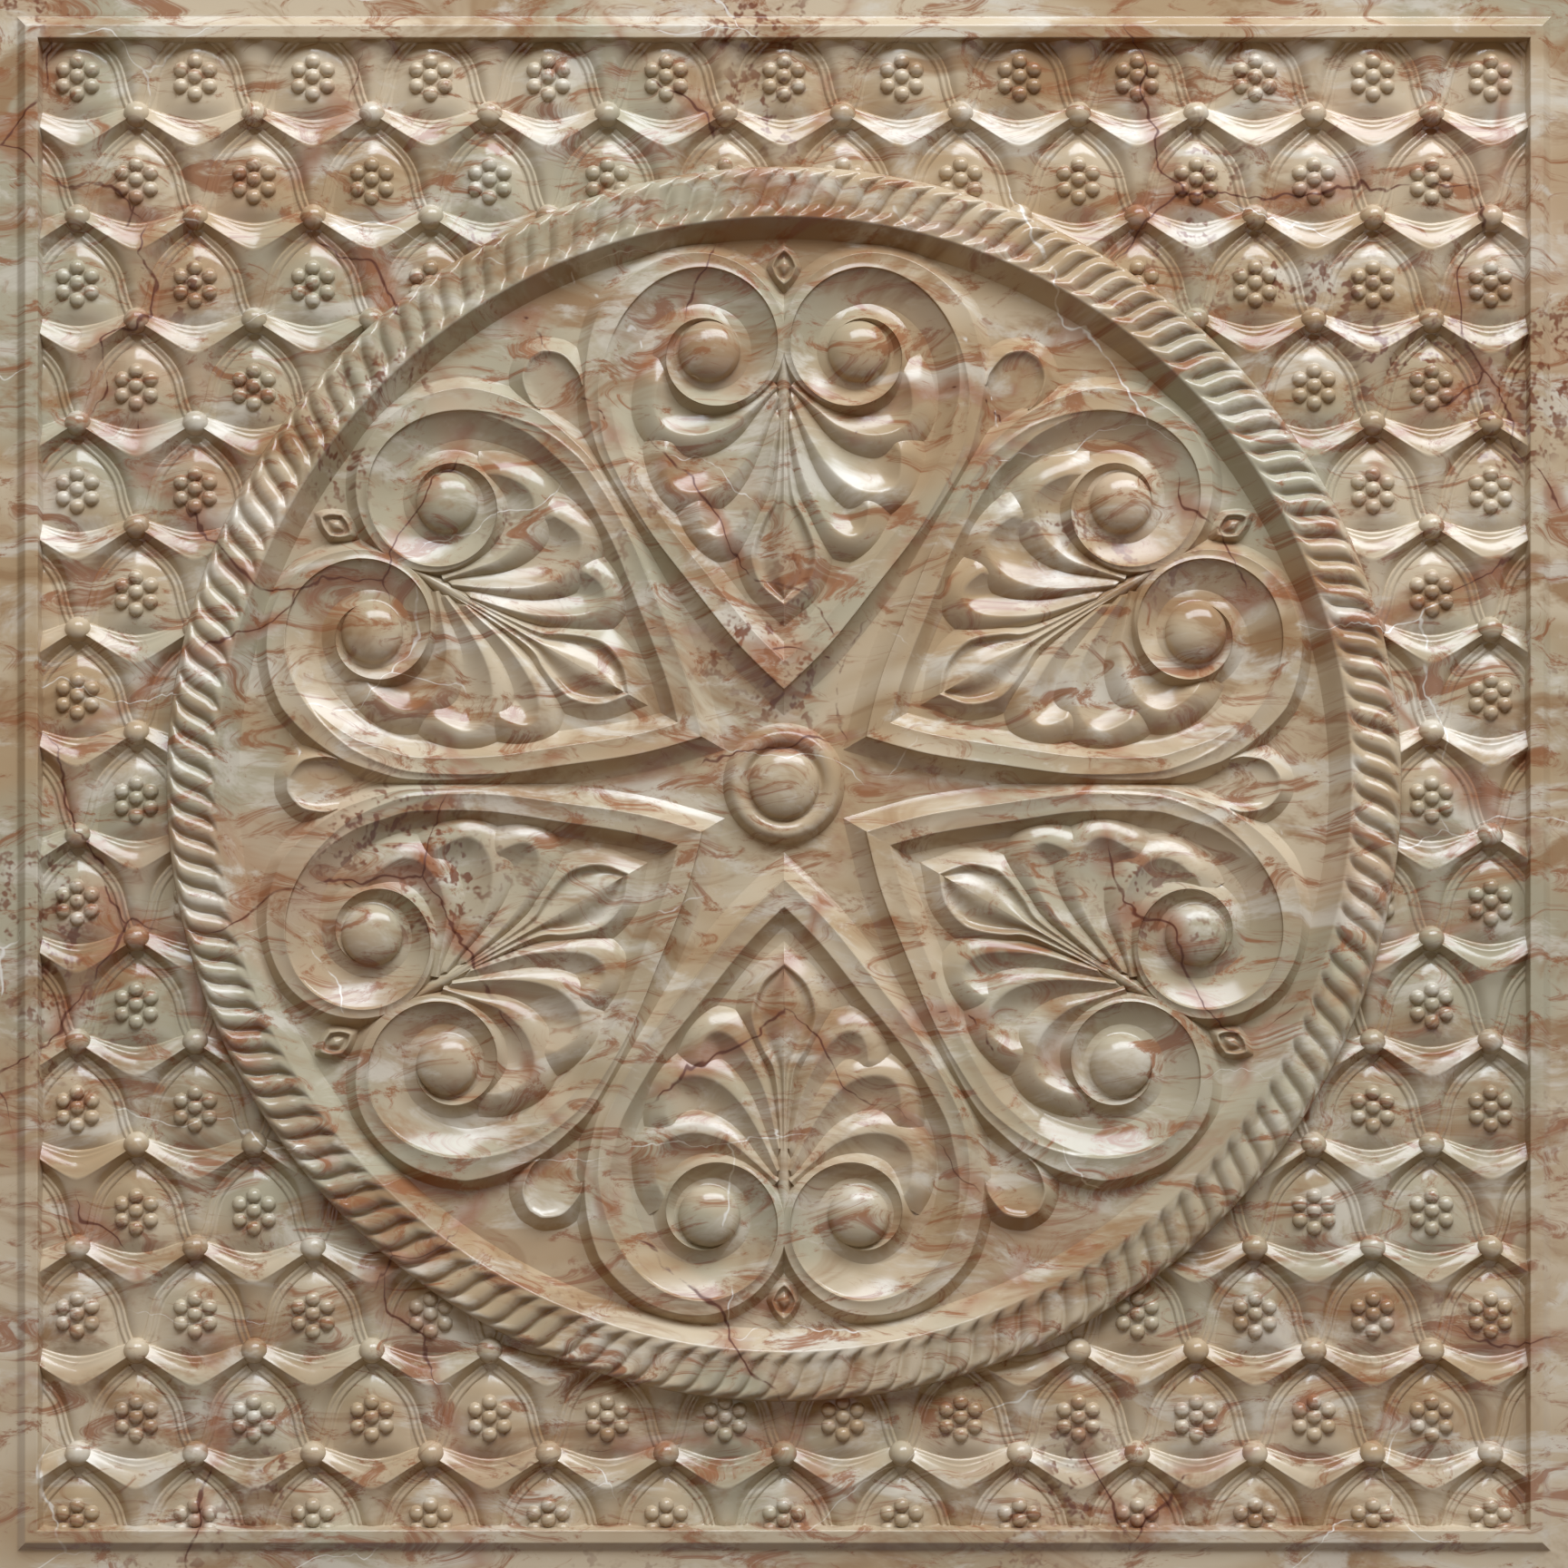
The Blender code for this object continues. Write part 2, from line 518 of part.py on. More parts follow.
def add_medallion(lines):
    """The lines of half a heart, placed for every half of every heart."""
    crest = strap_crest(1, VOLUTE_STEPS)
    station = nearest_on(strap_crest(CURVE_STEPS, FINE_TURN_STEPS), crest)[1]
    band_outside, slope_outside, band_inside, slope_inside = (
        np.interp(station, STRAP_STATIONS, widths)
        for widths in (BAND_OUTSIDE, SLOPE_OUTSIDE, BAND_INSIDE, SLOPE_INSIDE)
    )
    boss_edge = circle(VOLUTE_BOSS_RADIUS, VOLUTE_BOSS_SIDES, 0.5, VOLUTE_CENTRE)
    boss_top = circle(VOLUTE_BOSS_RADIUS / 2, VOLUTE_BOSS_SIDES // 2, 0, VOLUTE_CENTRE)
    arm = len(ARM)
    sparse = list(range(arm)) + list(range(arm, len(crest), 2))
    lean = np.array([
        (-math.cos(math.pi / HEARTS), math.sin(math.pi / HEARTS)),
        (math.sin(math.pi / HEARTS), math.cos(math.pi / HEARTS)),
    ])
    half = [
        crest,
        beside(crest, band_outside)[arm:arm + VOLUTE_STEPS // 2],
        beside(crest, -band_inside)[:arm + 1],
        beside(crest, band_outside + slope_outside)[sparse],
        beside(crest, -band_inside - slope_inside)[sparse],
        spline(TIP_LEAF, 1),
        beside(spline(TIP_LEAF, 1), np.full(len(TIP_LEAF), TIP_LEAF_GROOVE))[1:],
        beside(spline(TIP_LEAF, 1), np.full(len(TIP_LEAF), -TIP_LEAF_SLOPE))[2:],
        np.array([(0.0, TIP_LEAF[2][1]), (0.0, TIP_LEAF[4][1])]),
        spline(SPUR, 1) @ lean,
        beside(spline(SPUR, 1), np.full(len(SPUR), -SPUR_SLOPE)) @ lean,
        np.vstack([boss_edge, boss_edge[:1]]),
        np.vstack([boss_top, boss_top[:1]]),
        spline(ROLL, 1),
    ]
    for lobe in LOBES:
        lip = spline(lobe, 1)
        half.append(lip)
        half.append(beside(lip, lobe_slope(np.linspace(0, 1, len(lip))))[1:])
        half.append(beside(lip, np.full(len(lip), -LIP_WIDTH))[2:])
    for number in range(HEARTS):
        turn = 2 * math.pi * number / HEARTS
        across = np.array([math.cos(turn), -math.sin(turn)])
        along = np.array([math.sin(turn), math.cos(turn)])
        for side in (1, -1):
            for line in half:
                for piece in cut(line, in_half_heart):
                    lines.add((piece[:, :1] * side * across + piece[:, 1:] * along) * GROUND_RADIUS)
        bud = circle(1, BEAD_SIDES) * (BUD_HALF_WIDTH, BUD_HALF_LENGTH) + (0, BUD_CENTRE)
        lines.add((bud[:, :1] * across + bud[:, 1:] * along) * GROUND_RADIUS, closed=True)
        lines.add([BUD_CENTRE * along * GROUND_RADIUS])
    for radius in (BOSS_FOOT, BOSS_CREST, BOSS_GROOVE, BOSS_GROOVE / 2):
        lines.add(circle(radius * GROUND_RADIUS, BOSS_SIDES), closed=True)
    lines.add([(0.0, 0.0)])


def panel_mesh():
    lines = Lines()
    add_border(lines)
    add_ring(lines)
    add_medallion(lines)
    add_field(lines)
    flat, _, faces, _, _, _ = delaunay_2d_cdt(lines.points.tolist(), lines.edges, [], 0, 1e-6)
    flat = np.array([tuple(point) for point in flat])
    level = face_level(flat[:, 0], flat[:, 1])
    front = np.column_stack([flat[:, 0], -level, flat[:, 1]])
    corners = [int(np.hypot(*(flat - corner).T).argmin()) for corner in rectangle(0)]
    back = front[corners] * (1, 0, 1)
    count = len(front)
    sides = [(corners[(n + 1) % 4], corners[n], count + n, count + (n + 1) % 4) for n in range(4)]
    base = [(count, count + 3, count + 2, count + 1)]
    mesh = bpy.data.meshes.new("panel")
    mesh.from_pydata(np.vstack([front, back]).tolist(), [], [tuple(face) for face in faces] + sides + base)
    mesh.update()
    return mesh


def marble():
    material = bpy.data.materials.new("marble")
    material.use_nodes = True
    shader = material.node_tree.nodes["Principled BSDF"]
    shader.inputs["Base Color"].default_value = (0.52, 0.42, 0.30, 1)
    shader.inputs["Roughness"].default_value = 0.25
    shader.inputs["Metallic"].default_value = 0.0
    return material


def main():
    for item in list(bpy.data.objects):
        bpy.data.objects.remove(item, do_unlink=True)
    panel = bpy.data.objects.new("panel", panel_mesh())
    panel.data.materials.append(marble())
    bpy.context.scene.collection.objects.link(panel)


main()
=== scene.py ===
"""The carved marble panel: a moulded slab, a field of scales, a rope ring and a medallion of six hearts.

Every piece is made of closed solids, whose tops are grids of points worked out from formulas. Shapes are
drawn in (across, along, level): across runs to the right, along runs up the face, and level is the distance
from the back.
"""

import math

import bpy
import numpy as np
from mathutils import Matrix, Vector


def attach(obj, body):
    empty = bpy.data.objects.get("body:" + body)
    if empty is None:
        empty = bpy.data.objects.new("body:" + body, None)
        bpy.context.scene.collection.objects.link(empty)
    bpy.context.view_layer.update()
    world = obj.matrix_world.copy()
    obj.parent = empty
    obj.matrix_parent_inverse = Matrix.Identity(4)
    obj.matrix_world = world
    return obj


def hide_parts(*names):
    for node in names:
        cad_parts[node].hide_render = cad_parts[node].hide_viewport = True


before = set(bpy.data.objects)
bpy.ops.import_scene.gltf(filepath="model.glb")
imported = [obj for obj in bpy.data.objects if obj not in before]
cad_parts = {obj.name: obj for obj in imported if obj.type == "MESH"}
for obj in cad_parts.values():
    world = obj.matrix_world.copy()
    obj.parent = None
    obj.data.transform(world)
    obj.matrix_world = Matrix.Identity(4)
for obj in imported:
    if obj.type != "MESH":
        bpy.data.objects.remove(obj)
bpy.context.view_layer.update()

MM = 0.001

# Slab and border moulding
PANEL_WIDTH = 600 * MM
MARGIN_DEPTH = 22 * MM
MOULDING_RISE = 3 * MM
BORDER_WIDTH = 16.5 * MM
MOULDING_OUTER_SLOPE = 3.5 * MM
MOULDING_TOP = 4.8 * MM
MOULDING_INNER_SLOPE = 0.8 * MM
EDGE_ROUNDING = 0.5 * MM
LARGEST_ROUNDED_SHARE = 0.4

# Scale field
FIELD_DEPTH = 18 * MM
BEAD_PITCH = 45 * MM
ROW_PITCH = 39.4 * MM
ROWS = 14
BEAD_RADIUS = 5 * MM
BEAD_BASE_RISE = 1.5 * MM
BEAD_DOME = 5 * MM
SWAG_TOP_START = -3.2 * MM
SWAG_TOP_SAG = 1.9 * MM
SWAG_TOP_RISE = 1 * MM
SWAG_TOP_POWER = 0.8
SWAG_CREST_MIDDLE = 12.7 * MM
SWAG_CREST_SLOPE = 0.66
SWAG_CREST_BEND = 2.2 * MM
SWAG_CREST_RISE = 5 * MM
SWAG_SCOOP = 1.25
SWAG_ROUNDING = 0.6 * MM
SWAG_ROUNDING_WIDTH = 1.8 * MM
SWAG_GROOVE = 0.25 * MM
SWAG_GROOVE_PLACES = (0.20, 0.36)
SWAG_GROOVE_WIDTH = 0.03
SWAG_COLUMNS = 27
STEM_RISE = 3.3 * MM
STEM_FALL = 2.2 * MM
STEM_SIDE = 4.5 * MM
FLANK_RUN = 7 * MM
FLANK_SINK = 0.05 * MM
ARCH_TOP_DROP = 9.4 * MM
ARCH_HALF_WIDTH = 16 * MM
ARCH_RUN = 11 * MM
ARCH_CURVE = 0.75
ARCH_RIDGE_RISE = 0.95 * MM
PILLOW_EDGE_RISE = 0.15 * MM
PILLOW_RISE = 2.8 * MM
PILLOW_RUN = 8.5 * MM
PILLOW_FALL = 5.5 * MM
PILLOW_FALL_SHARE = 0.8
PILLOW_LENGTH = ROW_PITCH + SWAG_TOP_SAG - ARCH_TOP_DROP
PILLOW_ROWS = 17
PILLOW_COLUMNS = 15
PILLOW_CROWDING = 1.4
ROSETTE_DROP = 25.6 * MM
ROSETTE_MIDDLE = 0.6 * MM
ROSETTE_REACH = 6.2 * MM
PETAL_RADIUS = 3.1 * MM
PETAL_RISE = 2.5 * MM
PETAL_SINK = 0.4 * MM
PETALS = 6

# Points of an arch ridge, across from its bead and down from it
ARCH_RIDGE = (
    (2.8 * MM, 5.9 * MM), (11.5 * MM, 13.9 * MM), (16.3 * MM, 21.5 * MM), (18.8 * MM, 31.3 * MM),
    (22.0 * MM, 39.4 * MM),
)
ARCH_STEPS = 4
SWAG_ARCH_STEPS = 5
# The section of the two ridges: places across it in millimetres, and shares of the rise there
ARCH_SECTION = (-1.3, -0.6, -0.2, 0.2, 0.7, 1.3, 1.8, 2.2, 2.7, 3.6)
ARCH_SECTION_RISE = (-0.2, 0.65, 1.0, 1.0, 0.5, 0.3, 0.65, 0.8, 0.5, -0.2)
# Where the swag's lines lie, as shares of the way over its face and then down its flank
SWAG_FACE_PLACES = (0, 0.02, 0.10, 0.16, 0.20, 0.25, 0.31, 0.36, 0.5, 0.64, 0.77, 0.87, 0.94, 1.0)
SWAG_FLANK_PLACES = (0.03, 0.08, 0.15, 0.24, 0.35, 0.48, 0.62, 0.76, 0.87, 0.95, 1.0)
# How many beads the lattice reaches to each side of the middle
COLUMNS_ASIDE = 8

# Rope ring
RING_RADIUS = 236 * MM
RING_FILLET = 1.4 * MM
ROPE_WIDTH = 19 * MM
RING_WALL_RUN = 7.3 * MM
ROPE_STRANDS = 150
STRAND_STEPS = 12
ROPE_LEVEL = 26 * MM
STRAND_RISE = 2.7 * MM
STRAND_END_INSIDE = 0.20
STRAND_END_OUTSIDE = 0.13
STRAND_LEAN = 1.5
STRAND_BEND = 0.5
RING_CREST_LEVEL = 29 * MM
ROPE_CREST_SHARE = 0.25
RING_FOOT_DROP = 1.5 * MM
RING_FOOT_SINK = 0.5 * MM

# Medallion
GROUND_DEPTH = 20 * MM
HEARTS = 6
STRAP_RISE = 6.5 * MM
STRAP_BAND_DROP = 0.9 * MM
STRAP_DISH = 0.35 * MM
STRAP_SCOOP = 1.3
STRAP_END_DROP = 0.52
STRAP_END_START = 0.80
STRAP_END_SHARE = 0.20
VOLUTE_BOSS_RISE = 8.9 * MM
VOLUTE_SEAT_RISE = 1.8 * MM
LEAF_RISE = 5 * MM
LEAF_DISH = 4.4 * MM
LEAF_SLOPE_POWER = 1.7
LEAF_END_DROP = 0.5
LEAF_END_START = 0.86
LEAF_END_SHARE = 0.14
TIP_LEAF_RISE = 4.5 * MM
TIP_LEAF_GROOVE_RISE = 1.8 * MM
TIP_LEAF_BULGE_RISE = 5 * MM
STALK_RISE = 5.6 * MM
SPUR_RISE = 5 * MM
SPUR_FLOOR_RISE = 3 * MM
BUD_RISE = 4 * MM
BOSS_RISE = 9.5 * MM
BOSS_RING_RISE = 5.5 * MM
BOSS_GROOVE_RISE = 3 * MM
BOSS_DOME_SHARE = 0.95
BOSS_DOME_POWER = 0.9
BOSS_RING_POWER = 2.2

# How far the foot of a slope sinks below the ground
FOOT_SINK = 0.3 * MM
SPUR_FLOOR_SINK = 0.2 * MM
SEAT_SINK = 0.1 * MM

# The sizes of the medallion's carving are shares of its ground's radius
GROUND_RADIUS = RING_RADIUS - RING_FILLET - ROPE_WIDTH - RING_WALL_RUN
ARM = (
    (-0.05, 0.128), (0.0, 0.173), (0.083, 0.255), (0.167, 0.360),
    (0.250, 0.470), (0.317, 0.592), (0.335, 0.658),
)
VOLUTE_CENTRE = np.array((0.137, 0.792))
VOLUTE_RADIUS = 0.152
VOLUTE_END_RADIUS = 0.050
VOLUTE_SPREAD = 0.0185
VOLUTE_FLARE = 0.0467
VOLUTE_COIL = 1.38
VOLUTE_START_ANGLE = 111
VOLUTE_TURN = 445
VOLUTE_END_ANGLE = 445
VOLUTE_BOSS_RADIUS = 0.057
VOLUTE_SEAT_RADIUS = 0.062
VOLUTE_SEAT_FOOT = 0.085
LOBES = (
    (
        (0.013, 0.728), (0.058, 0.688), (0.100, 0.655), (0.158, 0.638),
        (0.210, 0.648), (0.234, 0.680), (0.230, 0.732), (0.210, 0.768),
    ),
    (
        (0.013, 0.708), (0.042, 0.645), (0.080, 0.583), (0.125, 0.543),
        (0.175, 0.533), (0.208, 0.553), (0.214, 0.606), (0.206, 0.645),
    ),
    (
        (0.010, 0.667), (0.033, 0.570), (0.063, 0.505), (0.092, 0.465),
        (0.122, 0.452), (0.146, 0.466), (0.154, 0.506), (0.150, 0.542),
    ),
)
LOBE_STEPS = 11
LOBE_SLOPE = 0.045
STEM_SLOPE = 0.014
LEAF_DISH_WIDTH = 0.052
# The volute's angles along the first lobe, and the share of its neighbour that each other lobe lies on
FIRST_LOBE_ANGLES = (-112, -239)
LOBE_REACH = (0, 0.57, 0.48)
TIP_LEAF = (
    (-0.040, 0.293), (0.0, 0.328), (0.040, 0.363), (0.058, 0.408), (0.055, 0.442),
    (0.037, 0.487), (0.017, 0.527), (0.008, 0.617), (0.005, 0.715),
)
TIP_LEAF_SLOPE = 0.030
TIP_LEAF_GROOVE = 0.014
TIP_LEAF_POINT = 0.02
TIP_LEAF_STEPS = 9
TIP_LEAF_NARROW_SHARE = 0.3
TIP_LEAF_BULGE_START = 0.25
STALK_TOP = 0.825
STALK_TIP = 0.430
STALK_HALF_WIDTH = 0.020
STALK_FOOT_WIDTH = 0.4
STALK_SWELL = 0.3
STALK_TAPER = 0.5
STALK_TAPER_SHARE = 0.85
STALK_DROP = 0.3
SPUR = ((0.045, 0.818), (0.050, 0.842), (0.042, 0.882), (0.017, 0.905), (0.0, 0.908))
SPUR_SLOPE = 0.028
SPUR_LIP = 0.007
SPUR_FOOT = 0.750
SPUR_FOOT_HALF_WIDTH = 0.03
BUD_CENTRE = 0.947
BUD_HALF_WIDTH = 0.033
BUD_HALF_LENGTH = 0.048
BUD_SIDES = 48
BUD_PLACES = (0, 0.12, 0.25, 0.4, 0.5, 0.58, 0.64, 0.72, 0.85, 1.0)
BUD_PLACE_RISES = (1.0, 0.95, 0.8, 0.42, 0.5, 0.85, 1.0, 0.85, 0.4, 0.0)
BOSS_FOOT = 0.112
BOSS_CREST = 0.088
BOSS_GROOVE = 0.068

# Places along the strap, as shares of its length, and the widths of its band and slopes there
STRAP_STATIONS = (
    0.0, 0.22, 0.376, 0.48, 0.585, 0.648, 0.706, 0.757, 0.803, 0.845, 0.882, 0.915, 0.944, 0.969, 1.0,
)
LEAST_BAND = 0.001
BAND_OUTSIDE = (LEAST_BAND,) * 2 + (0.018, 0.042, 0.027, 0.018, 0.014, 0.007) + (LEAST_BAND,) * 7
BAND_INSIDE = (0.038, 0.034, 0.025) + (LEAST_BAND,) * 12
SLOPE_OUTSIDE = (
    0.035, 0.033, 0.023, 0.023, 0.023, 0.022, 0.014, 0.016, 0.020, 0.022, 0.024, 0.026, 0.028, 0.024, 0.014,
)
SLOPE_INSIDE = (
    0.027, 0.030, 0.033, 0.050, 0.064, 0.064, 0.058, 0.051, 0.044, 0.037, 0.028, 0.020, 0.015, 0.013, 0.012,
)
# The width from which the strap's band is dished in full
DISHED_BAND = 0.02
# The strap's lines from the crest out, as shares of its band and of its slope on each side
BAND_LINES_OUTSIDE = (0.06, 0.3, 0.6, 0.85, 0.96)
BAND_LINES_INSIDE = (0.06, 0.25, 0.5, 0.75, 0.96)
SLOPE_LINES_OUTSIDE = (0, 0.08, 0.2, 0.4, 0.6, 0.8, 0.96, 1.05)
SLOPE_LINES_INSIDE = (0, 0.06, 0.15, 0.27, 0.4, 0.55, 0.7, 0.85, 0.97, 1.03)
VOLUTE_STEPS = 301
ARM_STEPS = 20
STRAP_STEPS = 450
STRAP_ROWS = 270
STRAP_MITRE_STEPS = 80

# How far a solid goes on below the surface that it stands on, and under the ring and the moulding
SINK = 1 * MM
TUCK = 2.5 * MM


def smooth(share):
    """An S-curve from 0 to 1, flat at both ends: 3 share squared minus 2 share cubed."""
    share = np.clip(share, 0, 1)
    return share * share * (3 - 2 * share)


def spline(points, steps):
    """A Catmull-Rom curve through the points, with this many steps from each to the next."""
    points = np.asarray(points, float)
    ends = np.vstack([2 * points[0] - points[1], points, 2 * points[-1] - points[-2]])
    before, start, end, after = ends[:-3, None], ends[1:-2, None], ends[2:-1, None], ends[3:, None]
    share = np.arange(steps)[None, :, None] / steps
    curve = start + 0.5 * share * (
        end - before
        + share * (2 * before - 5 * start + 4 * end - after + share * (3 * (start - end) + after - before))
    )
    return np.vstack([curve.reshape(-1, 2), points[-1:]])


def beside(path, offset):
    """The path moved to its right by the offset, square to its own direction."""
    run = np.gradient(path, axis=0)
    run /= np.hypot(*run.T)[:, None]
    return path + np.column_stack([run[:, 1], -run[:, 0]]) * np.reshape(offset, (-1, 1))


def distance_to(path, points):
    """The shortest distance from each point to the path's straight pieces."""
    start, run = path[:-1], np.diff(path, axis=0)
    offset = points[..., None, :] - start
    share = np.clip((offset * run).sum(-1) / (run**2).sum(-1), 0, 1)
    gap = offset - share[..., None] * run
    return np.hypot(gap[..., 0], gap[..., 1]).min(-1)


def along_path(path, start, count):
    """Points at even steps along the path from a fractional place on it to its end."""
    place = np.linspace(start, len(path) - 1, count)
    number = np.arange(len(path))
    return np.column_stack([np.interp(place, number, path[:, axis]) for axis in range(path.shape[1])])


class Shape:
    """A solid: points as (across, along, level), and groups of faces, each with a mark for smooth shading.

    Its faces are turned outwards: where the enclosed volume, summed over triangle fans, is negative, all of
    them turn round.
    """

    def __init__(self, points, groups):
        self.points = points
        fans = [faces[:, [0, n, n + 1]] for faces, _ in groups for n in range(1, faces.shape[1] - 1)]
        first, second, third = np.moveaxis(points[np.concatenate(fans)], 1, 0)
        inward = (first * np.cross(second, third)).sum() < 0
        self.groups = [(faces[:, ::-1] if inward else faces, soft) for faces, soft in groups]

    def copies(self, turns, shifts):
        """The places of every copy's points: the shape turned by each matrix, then moved by each shift."""
        flat = np.einsum("kij,nj->kni", turns, self.points[:, :2]) + shifts[:, None]
        level = np.broadcast_to(self.points[:, 2:], (len(turns), len(self.points), 1))
        return np.concatenate([flat, level], axis=2)

    def groups_of(self, turns, count):
        """The faces of that many copies. A mirrored copy's faces turn round, so that they still face out."""
        mirrored = (np.linalg.det(turns) < 0)[:, None, None]
        offset = np.arange(count)[:, None, None] * len(self.points)
        copied = []
        for faces, soft in self.groups:
            every = np.where(mirrored, faces[None, :, ::-1], faces[None]) + offset
            copied.append((every.reshape(-1, faces.shape[1]), soft))
        return copied


def strip(top, base, around=False):
    """A solid under a grid of points. Each row of the grid is a profile, closed below along the base's level.

    The profiles are joined one to the next. The two ends are capped, or joined where the strip goes around.
    """
    ends = top[:, [-1, 0]].copy()
    ends[..., 2] = base
    loop = np.concatenate([top, ends], axis=1)
    rows, count = loop.shape[:2]
    number = np.arange(rows * count).reshape(rows, count)
    if around:
        number = np.vstack([number, number[:1]])
    following = np.roll(number, -1, axis=1)
    quads = np.stack([number[:-1], following[:-1], following[1:], number[1:]], axis=-1)
    groups = [(quads[:, :-3].reshape(-1, 4), True), (quads[:, -3:].reshape(-1, 4), False)]
    if not around:
        groups += [(number[:1, ::-1], False), (number[-1:], False)]
    return Shape(loop.reshape(-1, 3), groups)


def revolved(radius, level, sides, base, outline=1.0):
    """A solid of revolution: the profile's level at each radius from the middle out, then down to the base.

    The outline is one number per side that the radius is multiplied by, for a shape that isn't round.
    """
    angle = np.arange(sides) / sides * 2 * math.pi
    reach = np.append(radius[1:], radius[-1])[:, None] * np.ones(sides) * outline
    height = np.append(level[1:], base)[:, None] * np.ones(sides)
    rings = np.stack([reach * np.sin(angle), reach * np.cos(angle), height], axis=-1).reshape(-1, 3)
    number = np.arange(len(rings)).reshape(-1, sides) + 1
    following = np.roll(number, -1, axis=1)
    quads = np.stack([number[:-1], following[:-1], following[1:], number[1:]], axis=-1)
    pole = np.stack([np.zeros(sides, int), following[0], number[0]], axis=-1)
    return Shape(np.vstack([[(0, 0, level[0])], rings]), [
        (pole, True), (quads[:-1].reshape(-1, 4), True), (quads[-1], False), (number[-1:], False),
    ])


def joined(parts):
    """Many lots of points and face groups as one."""
    points, groups, count = [], [], 0
    for places, faces in parts:
        points.append(places)
        groups += [(corners + count, soft) for corners, soft in faces]
        count += len(places)
    return np.vstack(points), groups


def repeated(shape, turns, shifts):
    """All the copies of a shape as points and face groups."""
    return shape.copies(turns, shifts).reshape(-1, 3), shape.groups_of(turns, len(turns))


def once(shape):
    """The shape as it is, as points and face groups."""
    return shape.points, shape.groups


def piece(name, parts):
    """The mesh object of these parts, with across as x, level as minus y and along as z."""
    points, groups = joined(parts)
    mesh = bpy.data.meshes.new(name)
    mesh.vertices.add(len(points))
    mesh.vertices.foreach_set("co", np.column_stack([points[:, 0], -points[:, 2], points[:, 1]]).ravel())
    corners = np.concatenate([faces.ravel() for faces, _ in groups])
    sizes = np.concatenate([np.full(len(faces), faces.shape[1]) for faces, _ in groups])
    smooth_faces = np.concatenate([np.full(len(faces), soft) for faces, soft in groups])
    mesh.loops.add(len(corners))
    mesh.loops.foreach_set("vertex_index", corners)
    mesh.polygons.add(len(sizes))
    mesh.polygons.foreach_set("loop_start", np.concatenate([[0], np.cumsum(sizes)[:-1]]))
    mesh.polygons.foreach_set("use_smooth", smooth_faces)
    mesh.update(calc_edges=True)
    mesh.validate()
    beside_edge = np.empty(len(mesh.loops), int)
    mesh.loops.foreach_get("edge_index", beside_edge)
    flat = ~np.concatenate([np.full(faces.size, soft) for faces, soft in groups])
    sharp = np.zeros(len(mesh.edges), bool)
    sharp[beside_edge[flat]] = True
    mesh.edges.foreach_set("use_edge_sharp", sharp)
    mesh.materials.append(marble)
    made = bpy.data.objects.new(name, mesh)
    bpy.context.scene.collection.objects.link(made)
    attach(made, "root")
    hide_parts("panel")
    return made


# Slab and border

def rounded_profile(corners):
    """The profile's corners, each replaced by a small arc of five points between its two sides."""
    corners = np.asarray(corners, float)
    before = corners[:-2] - corners[1:-1]
    after = corners[2:] - corners[1:-1]
    shorter = np.minimum(np.hypot(*before.T), np.hypot(*after.T))
    reach = np.minimum(EDGE_ROUNDING, LARGEST_ROUNDED_SHARE * shorter)[:, None]
    start = corners[1:-1] + before / np.hypot(*before.T)[:, None] * reach
    end = corners[1:-1] + after / np.hypot(*after.T)[:, None] * reach
    share = np.linspace(0, 1, 5)[None, :, None]
    corner = corners[1:-1, None]
    arc = (1 - share) ** 2 * start[:, None] + 2 * share * (1 - share) * corner + share**2 * end[:, None]
    return np.vstack([corners[:1], arc.reshape(-1, 2), corners[-1:]])


def slab():
    """The slab: a profile of inset and level carried round the square with mitres, a floor and a back."""
    wall = BORDER_WIDTH - MOULDING_INNER_SLOPE
    top = MARGIN_DEPTH + MOULDING_RISE
    profile = rounded_profile([
        (0, 0), (0, MARGIN_DEPTH), (wall - MOULDING_TOP - MOULDING_OUTER_SLOPE, MARGIN_DEPTH),
        (wall - MOULDING_TOP, top), (wall, top), (BORDER_WIDTH, FIELD_DEPTH), (2 * BORDER_WIDTH, FIELD_DEPTH),
    ])
    signs = np.array([(-1, -1), (1, -1), (1, 1), (-1, 1)])
    flat = (PANEL_WIDTH / 2 - profile[:, :1, None]) * signs[None]
    level = np.broadcast_to(profile[:, 1:, None], (len(profile), 4, 1))
    rings = np.concatenate([flat, level], axis=2)
    number = np.arange(len(profile) * 4).reshape(-1, 4)
    following = np.roll(number, -1, axis=1)
    quads = np.stack([number[:-1], following[:-1], following[1:], number[1:]], axis=-1).reshape(-1, 4)
    return Shape(rings.reshape(-1, 3), [(quads, False), (number[:1, ::-1], False), (number[-1:], False)])


# Scale field

